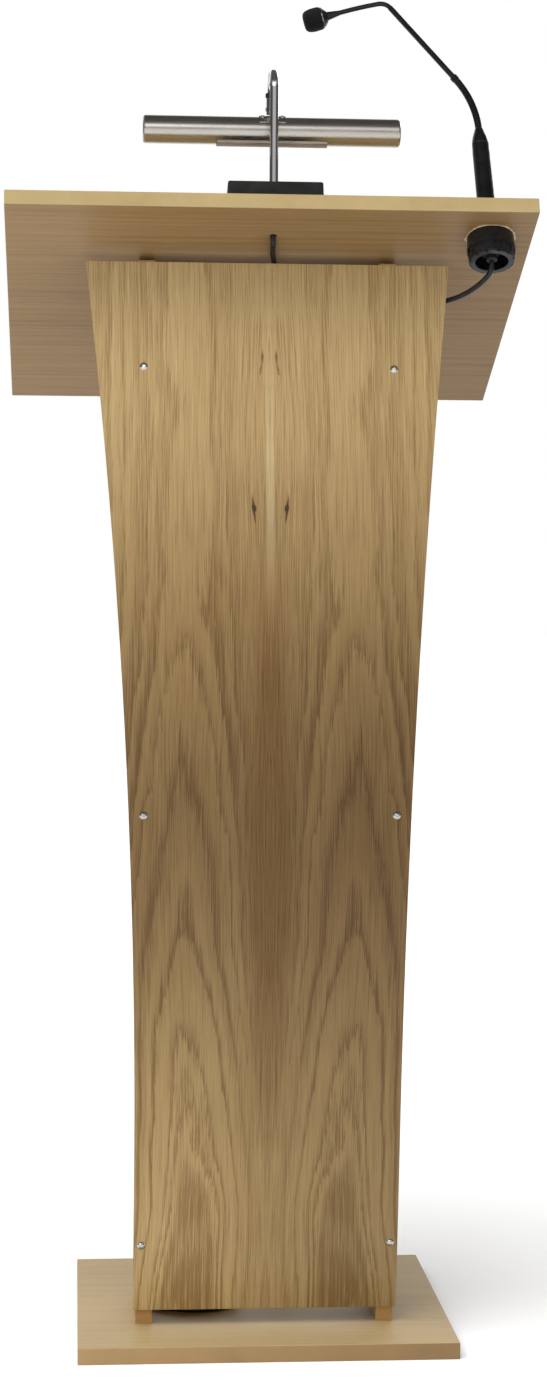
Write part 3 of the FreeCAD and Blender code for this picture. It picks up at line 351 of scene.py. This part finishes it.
def tones(colour, spread=0.22):
    """Ramp stops for a wood of this middle colour: darker and redder below it, paler above it."""
    r, g, b = colour
    return [
        (0.30, (r * (1 - spread), g * (1 - spread * 1.25), b * (1 - spread * 1.6))),
        (0.48, colour),
        (0.72, (r * (1 + spread * 0.8), g * (1 + spread * 0.9), b * (1 + spread))),
    ]


def board_oak(name, grain, face, seed, top, lip, shaded_under=None, tilt=0.0, painted_right_shade=0.0):
    """Veneered board: grain is the axis the fibres run along, face the axis through the board.

    The last argument is painted shade that grows towards the right: on the underside when an underside colour is
    given, on the bare edges when it is not. The underside colour is darker than the top as painted shade.
    """
    shade = Shade(name, Roughness=0.45, Coat_Weight=0.05, Coat_Roughness=0.3, Specular_IOR_Level=0.25)
    place = shade.turned(shade.place, tilt)
    axes = dict(zip("xyz", shade.split(place)))
    across = next(a for a in "xyz" if a not in (grain, face))
    deep = shade.math("MULTIPLY", axes[face], 14.0)
    bands, streaks, pores = fibres(shade, axes[grain], axes[across], deep, seed)
    tone = shade.math("ADD", shade.math("MULTIPLY", bands, 0.45), shade.math("MULTIPLY", streaks, 0.55))
    wood = shade.ramp(tone, tones(top))
    facing = shade.tree.nodes.new("ShaderNodeTexCoord").outputs["Normal"]
    through = dict(zip("xyz", shade.split(shade.turned(facing, tilt))))[face]
    if shaded_under:
        # painted shade: faces turned down take the darker underside colour
        wood = shade.mix(shade.math("LESS_THAN", through, -0.6), wood, shade.ramp(tone, tones(shaded_under, 0.34)))
        # painted shade: the underside darkens further towards the right
        painted_right_shade_mask = shade.math("MULTIPLY", shade.math("LESS_THAN", through, -0.6), shade.span(axes["x"], -0.3, 0.3, 0, painted_right_shade))
        wood = shade.mix(painted_right_shade_mask, wood, (0.50, 0.46, 0.42), "MULTIPLY")
    patch = shade.noise(shade.scaled(place, (3.0, 5.0, 5.0)), 1.0, 3.0)
    wood = shade.mix(shade.span(patch, 0.35, 0.7, 0.0, 0.30), wood, (0.80, 0.76, 0.70), "MULTIPLY")
    wood = shade.mix(shade.math("MULTIPLY", pores, 0.35), wood, PORE)
    edge = shade.math("LESS_THAN", shade.math("ABSOLUTE", through), 0.6)
    bare = shade.ramp(tone, tones(lip, 0.16))
    # painted shade: the bare edges darken towards the right
    if painted_right_shade and not shaded_under:
        bare = shade.mix(shade.span(axes["x"], -0.2, 0.2, 0, painted_right_shade), bare, (0.50, 0.46, 0.42), "MULTIPLY")
    wood = shade.mix(edge, wood, bare)
    shade.colour(wood)
    shade.roughness(shade.span(streaks, 0.3, 0.7, 0.40, 0.52))
    shade.bump(shade.math("SUBTRACT", streaks, pores), 0.22, 0.00015)
    return shade.material


MIDDLE_UP = 0.6           # the panel is darkest and warmest about here: partly the veneer's own colour, partly painted shade
MIDDLE_HIGH = 0.36
MIDDLE_DARK = 0.45
# the pale colour is the panel's near the top, the warm one its darker middle: partly the veneer's colour, partly
# painted shade
PANEL_PALE = (0.44, 0.314, 0.140)
PANEL_WARM_SHADED = (0.225, 0.119, 0.034)
# out from the mirror line, up, size, slant, darkness
KNOTS = [
    (0.0080, 1.130, 0.50, 0.0, 0.45),
    (0.0098, 1.116, 0.42, 0.2, 0.40),
    (0.0188, 0.957, 1.0, -0.10, 0.95),
]


def falloff(shade, out, z, at, up, wide, high, slant=0.0):
    """A bump of height 1 round a place on the veneer."""
    side = shade.math("MULTIPLY", shade.math("SUBTRACT", out, at), 1 / wide)
    rise = shade.math("MULTIPLY", shade.math("SUBTRACT", z, up), 1 / high)
    side = shade.math("ADD", side, shade.math("MULTIPLY", rise, slant * high / wide))
    far = shade.math("ADD", shade.math("MULTIPLY", side, side), shade.math("MULTIPLY", rise, rise))
    return shade.math("EXPONENT", shade.math("MULTIPLY", far, -1.0))


def panel_oak():
    """Book-matched veneer: one leaf with tall cathedrals and its mirror image, joined down the middle."""
    shade = Shade("oak_panel_veneer", Roughness=0.4, Coat_Weight=0.05, Coat_Roughness=0.25, Specular_IOR_Level=0.25)
    x, y, z = shade.split(shade.place)
    out = shade.math("ABSOLUTE", x)
    sway = shade.math("SUBTRACT", shade.noise(shade.join(0.0, 0.3, z), 2.6), 0.5)
    heart = shade.math("SUBTRACT", shade.math("ADD", out, shade.math("MULTIPLY", sway, 0.05)), 0.093)
    slow = shade.math("SUBTRACT", shade.noise(shade.join(shade.math("MULTIPLY", out, 18.0), 4.0,
                                                         shade.math("MULTIPLY", z, 5.0)), 1.0, 2.0), 0.5)
    jag = shade.math("SUBTRACT", shade.noise(shade.join(shade.math("MULTIPLY", out, 520.0), 7.0,
                                                        shade.math("MULTIPLY", z, 16.0)), 1.0, 3.0, 0.7), 0.5)
    tall = shade.math("SMOOTH_MIN", z, 0.82, 0.25)
    depth = shade.math("ADD", shade.math("MULTIPLY", shade.math("ADD", tall, 0.22), 0.082),
                       shade.math("ADD", shade.math("MULTIPLY", slow, 0.020), shade.math("MULTIPLY", jag, 0.011)))
    ring = shade.math("SQRT", shade.math("ADD", shade.math("MULTIPLY", heart, heart),
                                         shade.math("MULTIPLY", depth, depth)))
    for at, up, big, slant, dark in KNOTS:
        swell = falloff(shade, out, z, at, up, 0.011 * big, 0.040 * big)
        ring = shade.math("ADD", ring, shade.math("MULTIPLY", swell, 0.010))
    uneven = shade.math("MULTIPLY", shade.noise(shade.math("MULTIPLY", ring, 45.0), 1.0, 1.0), 3.2)
    turn = shade.math("FRACT", shade.math("ADD", shade.math("MULTIPLY", ring, 95.0), uneven))
    early = shade.ramp(turn, [(0.0, (0.15, 0.15, 0.15)), (0.16, (0.35, 0.35, 0.35)), (0.55, (0.75, 0.75, 0.75)),
                              (0.90, (0.85, 0.85, 0.85)), (1.0, (0.25, 0.25, 0.25))])
    wide = shade.noise(shade.math("ADD", shade.math("MULTIPLY", ring, 60.0), 3.7), 1.0, 2.0)
    bands, streaks, pores = fibres(shade, z, out, 0.0, 3.0, 0.02)
    clear = shade.math("MULTIPLY", shade.math("SUBTRACT", early, 0.6), shade.span(z, 0.72, 0.98, 0.25, 0.09))
    clear = shade.math("MULTIPLY", clear, shade.span(out, 0.015, 0.050, 0.15, 1.0))
    tone = shade.math("ADD", shade.math("ADD", clear, shade.math("MULTIPLY", wide, 0.13)),
                      shade.math("ADD", shade.math("MULTIPLY", bands, 0.16), shade.math("MULTIPLY", streaks, 0.66)))
    tone = shade.span(tone, 0.26, 0.72, 0.10, 0.92)
    cloud = shade.math("SUBTRACT", shade.noise(shade.join(shade.math("MULTIPLY", x, 7.0), 1.0,
                                                          shade.math("MULTIPLY", z, 2.4)), 1.0, 2.0), 0.5)
    # the middle of the panel takes the darker warm colour: partly the veneer's own colour, partly painted shade
    middle = falloff(shade, 0.0, z, 0.0, MIDDLE_UP, 1.0, MIDDLE_HIGH)
    warmth_and_shade = shade.math("ADD", shade.math("MULTIPLY", middle, 0.6), 0.2)
    warmth_and_shade = shade.math("ADD", warmth_and_shade, shade.math("MULTIPLY", cloud, 0.5))
    centre = falloff(shade, out, z, 0.0, 0.62, 0.020, 0.28)
    warmth_and_shade = shade.math("ADD", warmth_and_shade, shade.math("MULTIPLY", centre, 0.5))
    pale = shade.ramp(tone, tones(PANEL_PALE, 0.34))
    warm_shaded = shade.ramp(tone, tones(PANEL_WARM_SHADED, 0.42))
    wood = shade.mix(warmth_and_shade, pale, warm_shaded)
    sap = falloff(shade, shade.math("ADD", out, shade.math("MULTIPLY", jag, 0.006)), z, 0.002, 1.0, 0.0030, 0.13)
    wood = shade.mix(shade.math("MULTIPLY", sap, 0.45), wood, (0.66, 0.53, 0.30))
    # painted shade, with some of the veneer's own darkness: the middle of the panel is darkened
    wood = shade.mix(shade.math("MULTIPLY", middle, MIDDLE_DARK), wood, (0.0, 0.0, 0.0))
    # painted shade: the panel's right side darkens, more towards the bottom
    painted_right_shade = shade.math("MULTIPLY", shade.span(x, -0.12, 0.12), shade.span(z, 0.1, 1.1, 0.62, 0.15))
    wood = shade.mix(painted_right_shade, wood, (0.42, 0.38, 0.34), "MULTIPLY")
    early_pores = shade.math("MULTIPLY", pores, shade.span(turn, 0.0, 0.4, 1.0, 0.3))
    wood = shade.mix(shade.math("MULTIPLY", early_pores, 0.5), wood, PORE)
    for at, up, big, slant, dark in KNOTS:
        ragged = shade.math("ADD", out, shade.math("MULTIPLY", jag, 0.004))
        bark = shade.span(falloff(shade, ragged, z, at, up, 0.0032 * big, 0.0170 * big, slant), 0.2, 0.8)
        wood = shade.mix(shade.math("MULTIPLY", bark, 0.65), wood, (0.22, 0.110, 0.032))
        split = falloff(shade, ragged, z, at, up - 0.002, 0.0012 * big, 0.0165 * big, slant)
        eye = falloff(shade, ragged, z, at, up, 0.0026 * big, 0.0056 * big, slant)
        knot = shade.span(shade.math("MAXIMUM", split, eye), 0.3, 0.6, 0.0, dark)
        wood = shade.mix(knot, wood, (0.030, 0.014, 0.008))
    facing = shade.split(shade.tree.nodes.new("ShaderNodeTexCoord").outputs["Normal"])
    side = shade.math("GREATER_THAN", shade.math("ABSOLUTE", facing[0]), 0.6)
    wood = shade.mix(side, wood, shade.ramp(tone, tones((0.42, 0.27, 0.11), 0.2)))
    shade.colour(wood)
    shade.roughness(shade.span(streaks, 0.3, 0.7, 0.34, 0.46))
    shade.bump(shade.math("SUBTRACT", streaks, early_pores), 0.2, 0.00015)
    return shade.material


def wood_parts():
    top, lip = (0.40, 0.285, 0.135), (0.365, 0.272, 0.128)
    # the reading board's darker underside colour and its darkening towards the right are painted shade
    give(board_oak("oak_reading_board", "x", "z", 1.0, top, lip, (0.262, 0.164, 0.070), TILT, 0.40), "reading_board")
    give(board_oak("oak_page_stop", "x", "z", 5.0, top, lip, tilt=TILT), "page_stop")
    # the darkening of the base's front edge towards the right is painted shade
    give(board_oak("oak_base", "x", "z", 2.0, (0.38, 0.280, 0.142), (0.32, 0.205, 0.090), painted_right_shade=0.65),
         "base_board")
    fin = (0.44, 0.29, 0.13)
    give(board_oak("oak_left_fin", "z", "x", 7.0, fin, (0.40, 0.23, 0.085)), "left_fin")
    give(board_oak("oak_right_fin", "z", "x", 9.0, fin, (0.40, 0.23, 0.085)), "right_fin")
    give(board_oak("oak_rails", "x", "y", 4.0, fin, lip), "low_rail", "top_rail")
    give(panel_oak(), "front_panel")


wood_parts()


# ---------------------------------------------------------------- metals and plastics

def brushed_steel():
    """Satin tube: fine lines along the tube, which stretch its reflections round it."""
    shade = Shade("brushed_tube", Metallic=1.0, Roughness=0.24, Anisotropic=0.0)
    lines = shade.noise(shade.scaled(shade.place, (14.0, 900.0, 900.0)), 1.0, 2.0, 0.6)
    cloud = shade.noise(shade.scaled(shade.place, (12.0, 40.0, 40.0)), 1.0, 2.0)
    shade.colour(shade.ramp(lines, [(0.3, (0.44, 0.41, 0.37)), (0.7, (0.52, 0.49, 0.45))]))
    shade.roughness(shade.math("ADD", shade.span(lines, 0.3, 0.7, 0.20, 0.30), shade.math("MULTIPLY", cloud, 0.05)))
    shade.bump(lines, 0.05, 0.00002)
    return shade.material


def polished(name, colour, rough):
    shade = Shade(name, Metallic=1.0)
    smear = shade.noise(shade.place, 160.0, 3.0, 0.6)
    shade.colour(shade.mix(smear, colour, tuple(c * 0.9 for c in colour)))
    shade.roughness(shade.span(smear, 0.3, 0.7, rough * 0.7, rough * 1.3))
    return shade.material


def zinc():
    shade = Shade("zinc_plate", Metallic=0.9)
    spangle = shade.cells(shade.place, 420.0)
    cloud = shade.noise(shade.place, 60.0, 3.0)
    shade.colour(shade.ramp(cloud, [(0.3, (0.45, 0.45, 0.44)), (0.7, (0.68, 0.68, 0.66))]))
    shade.roughness(shade.span(spangle, 0.0, 0.8, 0.30, 0.46))
    return shade.material


def moulded(name, colour, rough, grain=900.0, depth=0.3, coat=0.0):
    """Moulded plastic or rubber with a fine grain and faint handling marks."""
    shade = Shade(name, Coat_Weight=coat, Coat_Roughness=0.15, Specular_IOR_Level=0.3)
    grain = shade.noise(shade.place, grain, 2.0, 0.6)
    marks = shade.noise(shade.place, 45.0, 4.0, 0.6, 0.6)
    shade.colour(shade.ramp(marks, [(0.35, colour), (0.75, tuple(c * 1.5 + 0.002 for c in colour))]))
    shade.roughness(shade.span(marks, 0.3, 0.7, rough * 0.85, rough * 1.2))
    shade.bump(grain, depth, 0.00002)
    return shade.material


def foam():
    shade = Shade("windscreen_foam", Roughness=0.95, Specular_IOR_Level=0.15, Sheen_Weight=0.04, Sheen_Roughness=0.6)
    holes = shade.cells(shade.place, 900.0)
    clumps = shade.noise(shade.place, 420.0, 3.0, 0.7)
    shade.colour(shade.ramp(clumps, [(0.3, (0.003, 0.003, 0.003)), (0.75, (0.010, 0.010, 0.010))]))
    shade.bump(shade.math("ADD", holes, clumps), 0.5, 0.0003)
    return shade.material


def frosted():
    shade = Shade("frosted_lens", Transmission_Weight=0.25, IOR=1.49)
    ripple = shade.noise(shade.scaled(shade.place, (40.0, 300.0, 300.0)), 1.0, 3.0)
    # the lens's dim brown is painted shade and painted reflection of the oak board below
    shade.colour(shade.ramp(ripple, [(0.3, (0.30, 0.24, 0.19)), (0.7, (0.46, 0.39, 0.32))]))
    shade.roughness(shade.span(ripple, 0.3, 0.7, 0.35, 0.5))
    shade.bump(ripple, 0.2, 0.0002)
    return shade.material


def felt():
    shade = Shade("felt_pad", Roughness=0.95, Sheen_Weight=0.3)
    hair = shade.noise(shade.place, 1400.0, 4.0, 0.8, 1.0)
    shade.colour(shade.ramp(hair, [(0.3, (0.010, 0.010, 0.010)), (0.7, (0.035, 0.035, 0.035))]))
    shade.bump(hair, 0.8, 0.0004)
    return shade.material


def metal_and_plastic_parts():
    steel = brushed_steel()
    give(steel, "lamp_shade", "shade_cap_left", "shade_cap_right", "lamp_saddle")
    give(polished("polished_neck", (0.78, 0.78, 0.77), 0.10), "lamp_neck", "neck_collar")
    give(polished("nickel_plate", (0.72, 0.69, 0.62), 0.16), "lamp_knuckle", "hinge_pin", "saddle_screws")
    give(polished("bright_screw", (0.52, 0.51, 0.49), 0.24), "panel_screws")
    give(polished("ring_dark_nickel", (0.22, 0.21, 0.20), 0.22), "head_ring")
    give(polished("brass_pins", (0.80, 0.68, 0.42), 0.22), "mic_pins", "plug_pins")
    give(zinc(), "angle_brackets", "bracket_screws", "base_screws", "rail_screws")
    give(moulded("lamp_block_black", (0.010, 0.010, 0.009), 0.42), "lamp_block", "lamp_bush", "light_holders")
    give(moulded("switch_black", (0.012, 0.012, 0.013), 0.22, coat=0.3), "switch_rocker", "switch_frame")
    give(moulded("mount_black", (0.008, 0.008, 0.0085), 0.24, 500.0, 0.1), "mount_cup", "mount_ring_nut")
    give(moulded("insert_black", (0.004, 0.004, 0.004), 0.40), "mount_insert", "mount_latch", "lead_sleeve")
    give(moulded("rubber_black", (0.013, 0.013, 0.013), 0.62), "mount_rubber", "mount_gland", "cable_grommet")
    give(moulded("mic_satin_black", (0.004, 0.004, 0.0045), 0.28, 1600.0, 0.1), "mic_base", "mic_dome", "mic_arm",
         "arm_collar", "head_neck", "head_housing", "mic_band")
    give(moulded("connector_black", (0.020, 0.020, 0.022), 0.30, coat=0.2), "cable_connector", "connector_latch")
    give(moulded("plug_black", (0.014, 0.014, 0.014), 0.50), "lead_plug")
    give(felt(), "lamp_pad")
    give(frosted(), "lamp_diffuser")
    give(moulded("light_tube_white", (0.75, 0.75, 0.72), 0.30), "light_tube")
    cable.data.materials.append(moulded("cable_jacket", (0.007, 0.007, 0.008), 0.38, 1200.0, 0.3))
    lead.data.materials.append(moulded("lead_jacket", (0.007, 0.007, 0.008), 0.40, 1200.0, 0.3))


metal_and_plastic_parts()


# ---------------------------------------------------------------- meshes

def new_mesh(name, points, faces, material, smooth=True):
    mesh = bpy.data.meshes.new(name)
    mesh.from_pydata([tuple(p) for p in points], [], faces)
    mesh.materials.append(material)
    for polygon in mesh.polygons:
        polygon.use_smooth = smooth
    piece = bpy.data.objects.new(name, mesh)
    bpy.context.scene.collection.objects.link(piece)
    return piece


def skin(rings, closed_ends=True):
    """Points and faces of a tube through rings that hold the same number of points."""
    count = len(rings[0])
    points = [p for ring in rings for p in ring]
    faces = []
    for k in range(len(rings) - 1):
        for i in range(count):
            j = (i + 1) % count
            faces.append((k * count + i, k * count + j, (k + 1) * count + j, (k + 1) * count + i))
    if closed_ends:
        faces.append(tuple(reversed(range(count))))
        faces.append(tuple(range((len(rings) - 1) * count, len(rings) * count)))
    return points, faces


def arc_places(start, angle, radius, turn, count):
    """Places (along, up, angle) on an arc in the gooseneck's plane, in millimetres."""
    places = []
    for k in range(count + 1):
        now = angle + turn * k / count
        along = start[0] + radius * (math.cos(angle) - math.cos(now))
        up = start[1] + radius * (math.sin(now) - math.sin(angle))
        places.append((along, up, now))
    return places


SIDE = MIC_UP.cross(MIC_BEND)


def flex(name, places, radius, rib, pitch_rings, material, node):
    """Spiral-wound gooseneck: a tube whose radius rises at every wind."""
    rings = []
    sides = 28
    for k, (along, up, angle) in enumerate(places):
        centre = in_mic(along, up)
        out = MIC_BEND * math.cos(angle) - MIC_UP * math.sin(angle)
        wave = 0.5 + 0.5 * math.cos(2 * math.pi * k / pitch_rings)
        r = (radius - rib * (1 - wave)) * MM
        ring = [
            centre + out * (r * math.cos(2 * math.pi * i / sides)) + SIDE * (r * math.sin(2 * math.pi * i / sides))
            for i in range(sides)
        ]
        rings.append(ring)
    piece = new_mesh(name, *skin(rings), material)
    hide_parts(node)
    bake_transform(piece)


LOW_TURN = math.radians(31.8)
LOW_RADIUS = 78.3 / LOW_TURN
FLEX_FOOT = 168.4
ARM_LONG = 131.4
TIGHT_TURN = math.radians(61.6)
SLACK_TURN = math.radians(6.3)
HEAD_ANGLE = LOW_TURN + TIGHT_TURN + SLACK_TURN


def gooseneck():
    black = moulded("gooseneck_black", (0.004, 0.004, 0.0045), 0.30, 1400.0, 0.1)
    low = arc_places((0, FLEX_FOOT), 0.0, LOW_RADIUS, LOW_TURN, 240)
    flex("gooseneck_lower", low, 4.1, 0.03, 5, black, "lower_flex")
    top = (low[-1][0] + math.sin(LOW_TURN) * ARM_LONG, low[-1][1] + math.cos(LOW_TURN) * ARM_LONG)
    tight = arc_places(top, LOW_TURN, 16, TIGHT_TURN, 60)
    slack = arc_places(tight[-1][:2], tight[-1][2], 46.9 / SLACK_TURN, SLACK_TURN, 160)
    flex("gooseneck_upper", tight + slack[1:], 2.8, 0.02, 5, black, "upper_flex")
    return slack[-1][:2]


def windscreen(at):
    """Foam ball drawn over the capsule: a soft barrel with an uneven skin and a rolled rear edge."""
    start = in_mic(*at)
    ahead = MIC_BEND * math.sin(HEAD_ANGLE) + MIC_UP * math.cos(HEAD_ANGLE)
    out = MIC_BEND * math.cos(HEAD_ANGLE) - MIC_UP * math.sin(HEAD_ANGLE)
    outline = [(11.9, 24.4), (11.9, 22.6), (12.4, 21.8), (13.1, 22.2), (13.5, 24.0), (13.7, 27.0), (13.75, 30.5),
               (13.65, 33.5), (13.3, 36.5), (12.6, 39.2), (11.4, 41.3), (9.6, 42.8), (7.2, 43.6), (4.6, 43.8),
               (2.2, 43.85), (0.3, 43.85)]
    fine = []
    for (r0, h0), (r1, h1) in zip(outline, outline[1:]):
        fine += [(r0 + (r1 - r0) * k / 4, h0 + (h1 - h0) * k / 4) for k in range(4)]
    fine.append(outline[-1])
    sides = 72
    rings = []
    for r, h in fine:
        ring = []
        for i in range(sides):
            turn = 2 * math.pi * i / sides
            spot = Vector((math.cos(turn) * r, math.sin(turn) * r, h))
            uneven = 1 + 0.018 * noise.noise(spot * 0.16) + 0.008 * noise.noise(spot * 0.9)
            radial = out * math.cos(turn) + SIDE * math.sin(turn)
            ring.append(start + (ahead * h + radial * (min(r * uneven, 13.9))) * MM)
        rings.append(ring)
    piece = new_mesh("windscreen_ball", *skin(rings), foam())
    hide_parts("windscreen")
    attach(piece, "mic_head")


def chipped_rim():
    """Bare wood round the cup where the hole's edge has broken out, on the board's underside."""
    shade = Shade("bare_oak", Roughness=0.8)
    splinter = shade.noise(shade.scaled(shade.place, (120.0, 900.0, 900.0)), 1.0, 3.0)
    shade.colour(shade.ramp(splinter, [(0.3, (0.42, 0.30, 0.16)), (0.7, (0.78, 0.66, 0.44))]))
    shade.bump(splinter, 0.6, 0.0004)
    sides = 180
    rings = []
    for lift, base in ((0.0, 26.0), (-0.12, 27.2), (-0.10, 27.6), (0.0, 28.0)):
        ring = []
        for i in range(sides):
            turn = 2 * math.pi * i / sides
            worn = max(0.0, noise.noise(Vector((math.cos(turn) * 2.1, math.sin(turn) * 2.1, 0.7))))
            ragged = max(0.0, noise.noise(Vector((math.cos(turn) * 9.0, math.sin(turn) * 9.0, 3.1))))
            r = base + (base - 26.0) * (worn * 1.6 + ragged * 0.9)
            ring.append(board_point(251.5 + r * math.cos(turn), 55 + r * math.sin(turn), lift))
        rings.append(ring)
    piece = new_mesh("chipped_rim", *skin(rings, closed_ends=False), shade.material)
    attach(piece, "lectern")


def dome():
    """Top of the microphone's handle, drawn in round the foot of the gooseneck like a bullet's nose."""
    outline = [(9.7, 148.9), (9.65, 151.0), (9.4, 153.6), (9.0, 156.4), (8.4, 159.4), (7.6, 162.4), (6.75, 165.2),
               (5.95, 167.8), (5.25, 170.0), (4.7, 171.6), (4.2, 172.2)]
    sides = 48
    rings = []
    for r, up in outline:
        ring = []
        for i in range(sides):
            turn = 2 * math.pi * i / sides
            radial = MIC_BEND * math.cos(turn) + SIDE * math.sin(turn)
            ring.append(in_mic(0, up) + radial * (r * MM))
        rings.append(ring)
    piece = new_mesh("handle_dome", *skin(rings), bpy.data.objects["mic_base"].material_slots[0].material)
    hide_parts("mic_dome")
    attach(piece, "mic_stem")


def tie(name, x, y, middle, across, angle, material):
    """Hook-and-loop strap round the coil's turns at one place."""
    out = Vector((math.cos(angle), math.sin(angle), 0))
    along = Vector((-math.sin(angle), math.cos(angle), 0))
    centre = Vector((x, y, BOARD + TIE_THICK + across)) + out * middle
    half_wide, half_high = across * 1.5, across
    round_off = across * 0.5
    rings = []
    for shift, skin_thick in ((-5, 0.1), (-5, 1.0), (5, 1.0), (5, 0.1)):
        ring = []
        for i in range(48):
            turn = 2 * math.pi * (i + 0.5) / 48
            c, s = math.cos(turn), math.sin(turn)
            thick = TIE_THICK * 0.8 * skin_thick
            u = math.copysign(half_wide - round_off, c) + (round_off + thick) * c
            v = math.copysign(half_high - round_off, s) + (round_off + thick) * s
            ring.append(centre + out * u + Vector((0, 0, v)) + along * (shift * MM))
        rings.append(ring)
    points, faces = skin(rings + [rings[0]], closed_ends=False)
    count = 48
    points = points[:4 * count]
    faces = [tuple(v % (4 * count) for v in face) for face in faces]
    piece = new_mesh(name, points, faces, material)
    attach(piece, "lectern")


def ties():
    weave = felt()
    weave.name = "strap_weave"
    tie("cable_strap", -0.076, -0.041, 0.0433, CABLE_DIAMETER, 2.2, weave)
    tie("lead_strap", 0.070, 0.050, 0.0378, LEAD_DIAMETER, 5.3, weave)


dome()
ties()
head_at = gooseneck()
windscreen(head_at)
chipped_rim()


# ---------------------------------------------------------------- studio

def area_light(name, place, aim, size, power, colour=(1, 1, 1)):
    data = bpy.data.lights.new(name, "AREA")
    data.shape = "RECTANGLE"
    data.size, data.size_y = size
    data.energy = power
    data.color = colour
    light = bpy.data.objects.new(name, data)
    light.location = place
    light.rotation_euler = (Vector(aim) - Vector(place)).to_track_quat("-Z", "Y").to_euler()
    bpy.context.scene.collection.objects.link(light)


def studio():
    """Pale floor, white surroundings, a broad soft key from the upper left and panels for the metal to mirror."""
    shade = Shade("studio_floor", Roughness=1.0, IOR=1.2)
    shade.colour(shade.ramp(shade.noise(shade.place, 0.8), [(0.3, (0.90, 0.90, 0.90)), (0.7, (0.93, 0.93, 0.93))]))
    half = 40
    floor = new_mesh("floor", [(-half, -half, 0), (half, -half, 0), (half, half, 0), (-half, half, 0)],
                     [(0, 1, 2, 3)], shade.material)
    world = bpy.data.worlds.new("studio")
    world.use_nodes = True
    nodes, links = world.node_tree.nodes, world.node_tree.links
    room = nodes["Background"]
    up = nodes.new("ShaderNodeSeparateXYZ")
    links.new(nodes.new("ShaderNodeTexCoord").outputs["Generated"], up.inputs[0])
    walls = nodes.new("ShaderNodeValToRGB")
    links.new(up.outputs[2], walls.inputs[0])
    bar = walls.color_ramp
    for _ in range(4):
        bar.elements.new(0.5)
    stops = [(0.0, 0.50), (0.20, 0.62), (0.38, 1.5), (0.54, 1.4), (0.66, 0.14), (1.0, 0.12)]
    for element, (at, grey) in zip(bar.elements, stops):
        element.position = at
        element.color = (grey, grey, grey, 1)
    aside = nodes.new("ShaderNodeMath")
    aside.operation = "ABSOLUTE"
    links.new(up.outputs[0], aside.inputs[0])
    dim = nodes.new("ShaderNodeMapRange")
    links.new(aside.outputs[0], dim.inputs["Value"])
    for key, number in zip(("From Min", "From Max", "To Min", "To Max"), (0.50, 0.80, ROOM, ROOM * 0.15)):
        dim.inputs[key].default_value = number
    links.new(walls.outputs[0], room.inputs["Color"])
    links.new(dim.outputs["Result"], room.inputs["Strength"])
    white = nodes.new("ShaderNodeBackground")
    white.inputs["Color"].default_value = (1, 1, 1, 1)
    seen = nodes.new("ShaderNodeLightPath")
    pick = nodes.new("ShaderNodeMixShader")
    links.new(seen.outputs["Is Camera Ray"], pick.inputs[0])
    links.new(room.outputs[0], pick.inputs[1])
    links.new(white.outputs[0], pick.inputs[2])
    links.new(pick.outputs[0], nodes["World Output"].inputs["Surface"])
    bpy.context.scene.world = world
    sun = bpy.data.lights.new("soft_sun", "SUN")
    sun.energy = SUN
    sun.angle = math.radians(55)
    lamp = bpy.data.objects.new("soft_sun", sun)
    lamp.rotation_euler = Vector((0.30, 0.36, -1.0)).to_track_quat("-Z", "Y").to_euler()
    lamp.visible_glossy = False
    bpy.context.scene.collection.objects.link(lamp)
    area_light("key", (-1.6, -4.0, 3.2), (0, 0, 1.2), (3.6, 0.9), KEY)
    area_light("low_fill", (-1.1, -2.6, 0.5), (0.2, -0.1, 1.25), (0.45, 0.45), FILL)
    area_light("rear", (1.6, 2.8, 2.6), (0, 0, 1.2), (1.4, 1.4), REAR)
    bpy.context.scene.view_settings.view_transform = "Standard"


ROOM, SUN, KEY, REAR, FILL = 0.85, 3.3, 28, 20, 5
studio()

bpy.context.view_layer.update()
